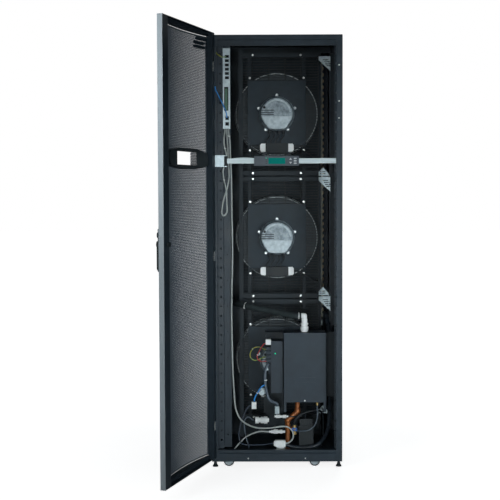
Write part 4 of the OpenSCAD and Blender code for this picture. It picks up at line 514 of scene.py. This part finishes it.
# Each motor's four leads hang from its glands, and its feed runs from the strip below it into the bulkhead;
# the routes are in mm from the gland's x and the motor's plate
motorLeadSettings = {"diameter": 5.6, "route": [[0, -14, -94.8], [0, -15, -104], [-5, -18, -114], [-13, -18, -124],
    [-16, -18, -132], [-16, -18, -139.3]]}
fanFeedSettings = {"diameter": 4.8, "route": [[80.6, -14, -162], [90, -14, -162], [112, -12, -168], [146, -8, -186],
    [176, 0, -206], [197, 20, -212], [199, 60, -214], [200, 148, -214]]}
for i, fanZ in enumerate(fanSettings["heights"], 1):
    at = np.array([fanSettings["x"], fanSettings["plateY"], fanZ])
    for k, glandX in enumerate(fanSettings["glands"]):
        fixedCords.append((f"motorLead{i}{k}", "leads", motorLeadSettings["diameter"], "jacketBlack",
            at + [glandX, 0, 0] + np.array(motorLeadSettings["route"])))
    fixedCords.append((f"fanFeed{i}", "leads", fanFeedSettings["diameter"], "jacketBlack",
        at + np.array(fanFeedSettings["route"])))

# The loom is corrugated: its radius waves along the tube, one wave in every four rings
loomSettings = {"perSpan": 40, "ringsPerWave": 4, "depth": 0.05}
wiringSettings = {"hoseOver": 15, "hoseSpan": 8, "leadSpan": 6, "roundOver": 10, "roundSides": 16, "leadSides": 10}
for name, node, diameter, finish, route in fixedCords:
    w = wiringSettings
    path = smoothRoute(route, w["hoseSpan"] if diameter > w["hoseOver"] else w["leadSpan"])
    radius = diameter / 2 / mmPerMetre
    if name == "mainLoom":
        s = loomSettings
        path = smoothRoute(route, s["perSpan"])
        wave = np.sin(np.arange(len(path)) * 2 * np.pi / s["ringsPerWave"])
        radius = radius * (1 - s["depth"] * (0.5 + 0.5 * wave))
    points, faces = tubeAlong(path, radius, w["roundSides"] if diameter > w["roundOver"] else w["leadSides"])
    addPiece(name, points, faces, finish, "cabinet", [node])
print("fixed wiring laid:", len(fixedCords))

# Cable ties: a flat band round a cord, a tube whose radius steps up over its width; all in mm
tieSettings = {"width": 3.5, "across": (-0.5, -0.5, -0.25, 0.25, 0.5, 0.5), "over": (-0.4, 0.6, 0.9, 0.9, 0.6, -0.4),
    "sides": 18, "lip": 0.01, "places": [  # centre, direction of the cord, radius of the cord
        ((-235, -465, 1474), (0.3, 0, 1), 4.2), ((-240, -464, 1330), (0.3, 0, 1), 4.2),
        ((-146, -328, 737), (-1, 0.4, 0.25), 15.4), ((106, -363, 692), (1, 0, 0), 15.4),
        ((-90, -415.5, 335), (-0.5, 0, -1), 3.8), ((-52, -407, 395), (0, 0, 1), 7.2),
        ((-88, -396.6, 512), (0.3, 0, 1), 3), ((-112, -394.5, 540), (1, 0.2, 0.2), 3),
        ((-217, -454, 1530), (0.2, 0, 1), 4.2)]}
for k, (centre, direction, cordRadius) in enumerate(tieSettings["places"]):
    s = tieSettings
    along = np.asarray(direction, float) / np.linalg.norm(direction)
    path = np.asarray(centre, float) + along * s["width"] * np.array(s["across"])[:, None]
    path[0] -= along * s["lip"]
    path[-1] += along * s["lip"]
    points, faces = tubeAlong(path / mmPerMetre, (cordRadius + np.array(s["over"])) / mmPerMetre, s["sides"])
    addPiece(f"cableTie{k}", points, faces, "whitePlastic", "cabinet")
print("cable ties put on:", len(tieSettings["places"]))

# Front door's perforated sheet, in mm with the door closed; window is its middle and size, parts keeps meshes light
doorSettings = {"hinge": (-291, -515), "open": 108.4, "bowX": -1.5, "bowY": 941.25, "bowR": 1500.04, "thick": 1.6,
    "pitch": 8.0, "hole": 2.75, "x": (-268.5, 237.5), "z": (73, 1971), "window": (0, 1419, 225, 56), "parts": 3,
    "windowEdge": 4, "border": 8, "borderStep": 20, "borderExtra": 0.3}

# Six-sided holes on a staggered grid, joined by bridges and small triangles: corner k of a hole is its centre
# + hole (cos, sin)(30 + 60 k degrees), rows are pitch * sin 60 apart, and odd rows stand half a pitch over
def perforated(x0, x1, z0, z1, pitch, hole, keep):
    rowStep = pitch * 0.866
    nx, nz = int((x1 - x0 - 2 * hole) / pitch), int((z1 - z0 - 2 * hole) / rowStep)
    j, i = np.meshgrid(np.arange(nz + 1), np.arange(nx + 1), indexing="ij")
    odd = j % 2
    cx = (x0 + x1) / 2 + (i - nx / 2 + 0.5 * odd - 0.25) * pitch
    cz = (z0 + z1) / 2 + (j - nz / 2) * rowStep
    ok = keep(cx, cz) & (cx - hole > x0) & (cx + hole < x1)
    a = np.radians(30 + 60 * np.arange(6))
    points = np.stack([cx[..., None] + hole * np.cos(a), cz[..., None] + hole * np.sin(a)], -1).reshape(-1, 2)
    here, right = (j, i), (j, np.minimum(i + 1, nx))
    up = np.minimum(j + 1, nz)
    upR, upL = (up, np.minimum(i + odd, nx)), (up, np.maximum(i + odd - 1, 0))
    hasR = ok & (i < nx) & ok[right]
    hasUR = ok & (j < nz) & (i + odd <= nx) & ok[upR]
    hasUL = ok & (j < nz) & (i + odd - 1 >= 0) & ok[upL]
    joins = (  # three bridges to the neighbours, then the two triangles between them
        (hasR, (here, 0), (here, 5), (right, 3), (right, 2)),
        (hasUR, (here, 1), (here, 0), (upR, 4), (upR, 3)),
        (hasUL, (here, 2), (here, 1), (upL, 5), (upL, 4)),
        (hasR & hasUR, (here, 0), (right, 2), (upR, 4)),
        (hasUR & hasUL, (here, 1), (upR, 3), (upL, 5)))
    faces, rows = [], []
    for mask, *corners in joins:
        faces.append(np.stack([(jj[mask] * (nx + 1) + ii[mask]) * 6 + k for (jj, ii), k in corners], -1))
        rows.append(j[mask] / (nz + 1))
    return points, faces, rows

# Turns closed-door points about the hinge pins to where the door stands at rest:
# x' = cos t dx - sin t dy, y' = sin t dx + cos t dy, from the hinge
def opened(points):
    turn = math.radians(-doorSettings["open"])
    hx, hy = doorSettings["hinge"]
    dx, dy = points[:, 0] - hx, points[:, 1] - hy
    out = points.copy()
    out[:, 0] = hx + math.cos(turn) * dx - math.sin(turn) * dy
    out[:, 1] = hy + math.sin(turn) * dx + math.cos(turn) * dy
    return out

# The bow is an arc: y = bowY - sqrt(bowR^2 - (x - bowX)^2), moved back by half the sheet
def bowed(x, z):
    s = doorSettings
    y = s["bowY"] - np.sqrt(s["bowR"] ** 2 - (x - s["bowX"]) ** 2) + s["thick"] * 0.5
    return opened(np.stack([x, y, z], 1)) / mmPerMetre

# A middle surface with half the thickness to each side
# the sheet takes the paler coat with the painted highlight
def addSheet(name, points, faces, thick, smooth):
    piece = addPiece(name, points, faces, "meshCoatPaintedHighlight", "front_door_leaf", ["door_mesh"], smooth)
    wall = piece.modifiers.new("sheetWall", "SOLIDIFY")
    wall.thickness = thick / mmPerMetre
    wall.offset = 0

def besideWindow(x, z):
    wx, wz, width, height = doorSettings["window"]
    edge = doorSettings["windowEdge"]
    return (np.abs(x - wx) > width / 2 + edge) | (np.abs(z - wz) > height / 2 + edge)

(doorX0, doorX1), (doorZ0, doorZ1) = doorSettings["x"], doorSettings["z"]
points, faces, rows = perforated(doorX0, doorX1, doorZ0, doorZ1,
    doorSettings["pitch"], doorSettings["hole"], besideWindow)
for part in range(doorSettings["parts"]):
    chosen = [f[(r * doorSettings["parts"]).astype(int) == part] for f, r in zip(faces, rows)]
    used, index = np.unique(np.concatenate([f.ravel() for f in chosen]), return_inverse=True)
    splits = np.cumsum([f.size for f in chosen])[:-1]
    chosen = [k.reshape(f.shape).tolist() for k, f in zip(np.split(index.ravel(), splits), chosen)]
    addSheet(f"doorMesh{part}", bowed(points[used, 0], points[used, 1]), [f for group in chosen for f in group],
        doorSettings["thick"], False)

# Plain border of the sheet, a little thicker, over the ends of the perforation: a strip along the bow
def addDoorBorder(name, x0, x1, z0, z1):
    x = np.linspace(x0, x1, max(2, int((x1 - x0) / doorSettings["borderStep"])))
    n = len(x)
    faces = [[k, k + 1, n + k + 1, n + k] for k in range(n - 1)]
    thick = doorSettings["thick"] + doorSettings["borderExtra"]
    addSheet(name, bowed(np.tile(x, 2), np.repeat([z0, z1], n)), faces, thick, True)

border = doorSettings["border"]
addDoorBorder("doorMeshLeft", doorX0, doorX0 + border, doorZ0, doorZ1)
addDoorBorder("doorMeshRight", doorX1 - border, doorX1, doorZ0, doorZ1)
addDoorBorder("doorMeshBottom", doorX0 + border, doorX1 - border, doorZ0, doorZ0 + border)
addDoorBorder("doorMeshTop", doorX0 + border, doorX1 - border, doorZ1 - border, doorZ1)
print("door mesh made")

# Bright rolled rim of each impeller's front disc: an oval section carried round a circle, in mm,
# point = middle + (radius + wide cos b)(cos a, sin a) in x and z, and - deep sin b in y
rimSettings = {"radius": 194.5, "y": -192.2, "wide": 1.9, "deep": 1.0, "round": 96, "section": 8}
for i, fanZ in enumerate(fanSettings["heights"], 1):
    s = rimSettings
    a = np.linspace(0, 2 * np.pi, s["round"] + 1)[:-1, None]
    b = np.linspace(0, 2 * np.pi, s["section"] + 1)[None, :-1]
    out = s["radius"] + s["wide"] * np.cos(b)
    points = np.stack([fanSettings["x"] + out * np.cos(a), s["y"] - s["deep"] * np.sin(b) + 0 * a,
        fanZ + out * np.sin(a)], -1).reshape(-1, 3) / mmPerMetre
    corners = [f.ravel() for f in gridFaces(s["round"], s["section"], True)]
    faces = np.stack([corners[k] for k in (0, 3, 2, 1)], 1)  # this way round they point outwards
    addPiece(f"impellerRim{i}", points, faces.tolist(), "rimAluminium", f"fan_rotor_{i}")
print("impeller rims made")

# Rubber cord in the joint across each side panel, in mm, which keeps light out of it
sealSettings = {"x": 298.8, "z": 991.5, "reach": 429.5, "radius": 0.72, "rings": 12, "sides": 8}
for side, name in ((-1, "panelSealLeft"), (1, "panelSealRight")):
    s = sealSettings
    y = np.linspace(-s["reach"], s["reach"], s["rings"])
    path = np.stack([np.full(s["rings"], side * s["x"]), y, np.full(s["rings"], s["z"])], 1) / mmPerMetre
    points, faces = tubeAlong(path, s["radius"] / mmPerMetre, s["sides"])
    addPiece(name, points, faces, "tyreRubber", "cabinet")
print("panel seals laid")

# Lamp on a front face: rings from the rim to the crown at height h, each of radius sqrt(1 - h^2), half as deep as wide
lampSettings = {"rings": (0, 0.5, 0.85, 0.98), "round": 16, "statusPlace": (-47, -497.9, 1428), "statusStep": 8.5,
    "statusRadius": 1.7, "statusLamps": 4, "supplyPlace": (-6, -394.9, 518), "supplyRadius": 3}

def addDome(name, centre, radius, finish, body):
    h, n = np.array(lampSettings["rings"])[:, None], lampSettings["round"]
    a = np.linspace(0, 2 * np.pi, n, endpoint=False)[None, :]
    r = radius * np.sqrt(1 - h ** 2)
    points = np.stack([centre[0] + r * np.cos(a), centre[1] - radius * 0.5 * h + 0 * a, centre[2] + r * np.sin(a)], -1)
    faces = np.stack([f.ravel() for f in gridFaces(len(h), n)], 1).tolist()
    crown = (len(h) - 1) * n
    faces += [list(range(crown, crown + n)), list(range(n))[::-1]]
    addPiece(name, points.reshape(-1, 3) / mmPerMetre, faces, finish, body)

statusX, statusY, statusZ = lampSettings["statusPlace"]
for k in range(lampSettings["statusLamps"]):  # the top lamp is lit
    addDome(f"statusLamp{k}", (statusX, statusY, statusZ - lampSettings["statusStep"] * k),
        lampSettings["statusRadius"], "portDark" if k else "ledGreen", "display_unit")
addDome("supplyLamp", lampSettings["supplyPlace"], lampSettings["supplyRadius"], "ledGreen", "cabinet")
print("lamps set in")

# Floor, lights and world: a pale floor that is white to the camera away from the unit, and square soft lights,
# sizes and places in metres, power in watts, spread in degrees
stageSettings = {"floorColour": "#f2f2f2", "floorSize": 60, "floorRough": 0.7, "floorGloss": 0.2,
    "floorGlow": (0.84, 1.0), "glowReach": (0.7, 2.2), "worldLight": 0.05, "tint": (0.9, 0.975, 1.0), "lights": [
        {"name": "keyLamp", "place": (2.6, -4.6, 0.8), "target": (-0.1, 0.0, 0.8),
            "size": 1.6, "power": 5.6, "spread": 37},
        {"name": "fillLamp", "place": (-0.6, -6.4, 0.9), "target": (-0.05, 0.0, 0.8),
            "size": 1.8, "power": 4.6, "spread": 31},
        {"name": "topLamp", "place": (0.3, -2.6, 4.6), "target": (0.0, -0.2, 0.4),
            "size": 2.4, "power": 0.7, "spread": 120},
        {"name": "rearLamp", "place": (0.8, 4.5, 3.0), "target": (0.0, 0.0, 1.0),
            "size": 3.0, "power": 20, "spread": 120},
        {"name": "doorLamp", "place": (-3.4, -4.6, 2.2), "target": (-0.45, -1.0, 1.5),
            "size": 1.6, "power": 7, "spread": 60}]}
bpy.ops.mesh.primitive_plane_add(size=stageSettings["floorSize"], location=(0, 0, 0))
floor = bpy.context.object
floor.name = "studioFloor"
floorMat = bpy.data.materials.new("paleStudioFloor")
floorMat.use_nodes = True
tree = floorMat.node_tree
base = tree.nodes["Principled BSDF"]
base.inputs["Base Color"].default_value = fromHex(stageSettings["floorColour"])
base.inputs["Roughness"].default_value = stageSettings["floorRough"]
base.inputs["Specular IOR Level"].default_value = stageSettings["floorGloss"]
base.inputs["Emission Color"].default_value = (1, 1, 1, 1)
ray = addNode(tree, "ShaderNodeLightPath")
place = addNode(tree, "ShaderNodeTexCoord")
away = addNode(tree, "ShaderNodeVectorMath", [(place, "Object", 0)], operation="LENGTH")
level = addNode(tree, "ShaderNodeMapRange", [(away, "Value", "Value")])
level.inputs["From Min"].default_value, level.inputs["From Max"].default_value = stageSettings["glowReach"]
level.inputs["To Min"].default_value, level.inputs["To Max"].default_value = stageSettings["floorGlow"]
glow = addNode(tree, "ShaderNodeMath", [(ray, "Is Camera Ray", 0), (level, "Result", 1)], operation="MULTIPLY")
tree.links.new(glow.outputs[0], base.inputs["Emission Strength"])
floor.data.materials.append(floorMat)

world = bpy.data.worlds.new("studioWorld")
bpy.context.scene.world = world
world.use_nodes = True
tree = world.node_tree
sky = tree.nodes["Background"]
sky.inputs["Color"].default_value = (1, 1, 1, 1)
ray = addNode(tree, "ShaderNodeLightPath")
level = addNode(tree, "ShaderNodeMapRange", [(ray, "Is Camera Ray", "Value")])  # white to the camera only
level.inputs["To Min"].default_value = stageSettings["worldLight"]
level.inputs["To Max"].default_value = 1.0
tree.links.new(level.outputs["Result"], sky.inputs["Strength"])

for light in stageSettings["lights"]:
    lightData = bpy.data.lights.new(light["name"], "AREA")
    lightData.shape = "SQUARE"
    lightData.size = light["size"]
    lightData.energy = light["power"]
    lightData.spread = math.radians(light["spread"])
    lightData.color = stageSettings["tint"]
    lamp = bpy.data.objects.new(light["name"], lightData)
    lamp.location = light["place"]
    lamp.rotation_euler = (Vector(light["target"]) - Vector(light["place"])).to_track_quat("-Z", "Y").to_euler()
    bpy.context.scene.collection.objects.link(lamp)
bpy.context.scene.view_settings.view_transform = "Standard"
print("stage lit:", len(stageSettings["lights"]), "lights")
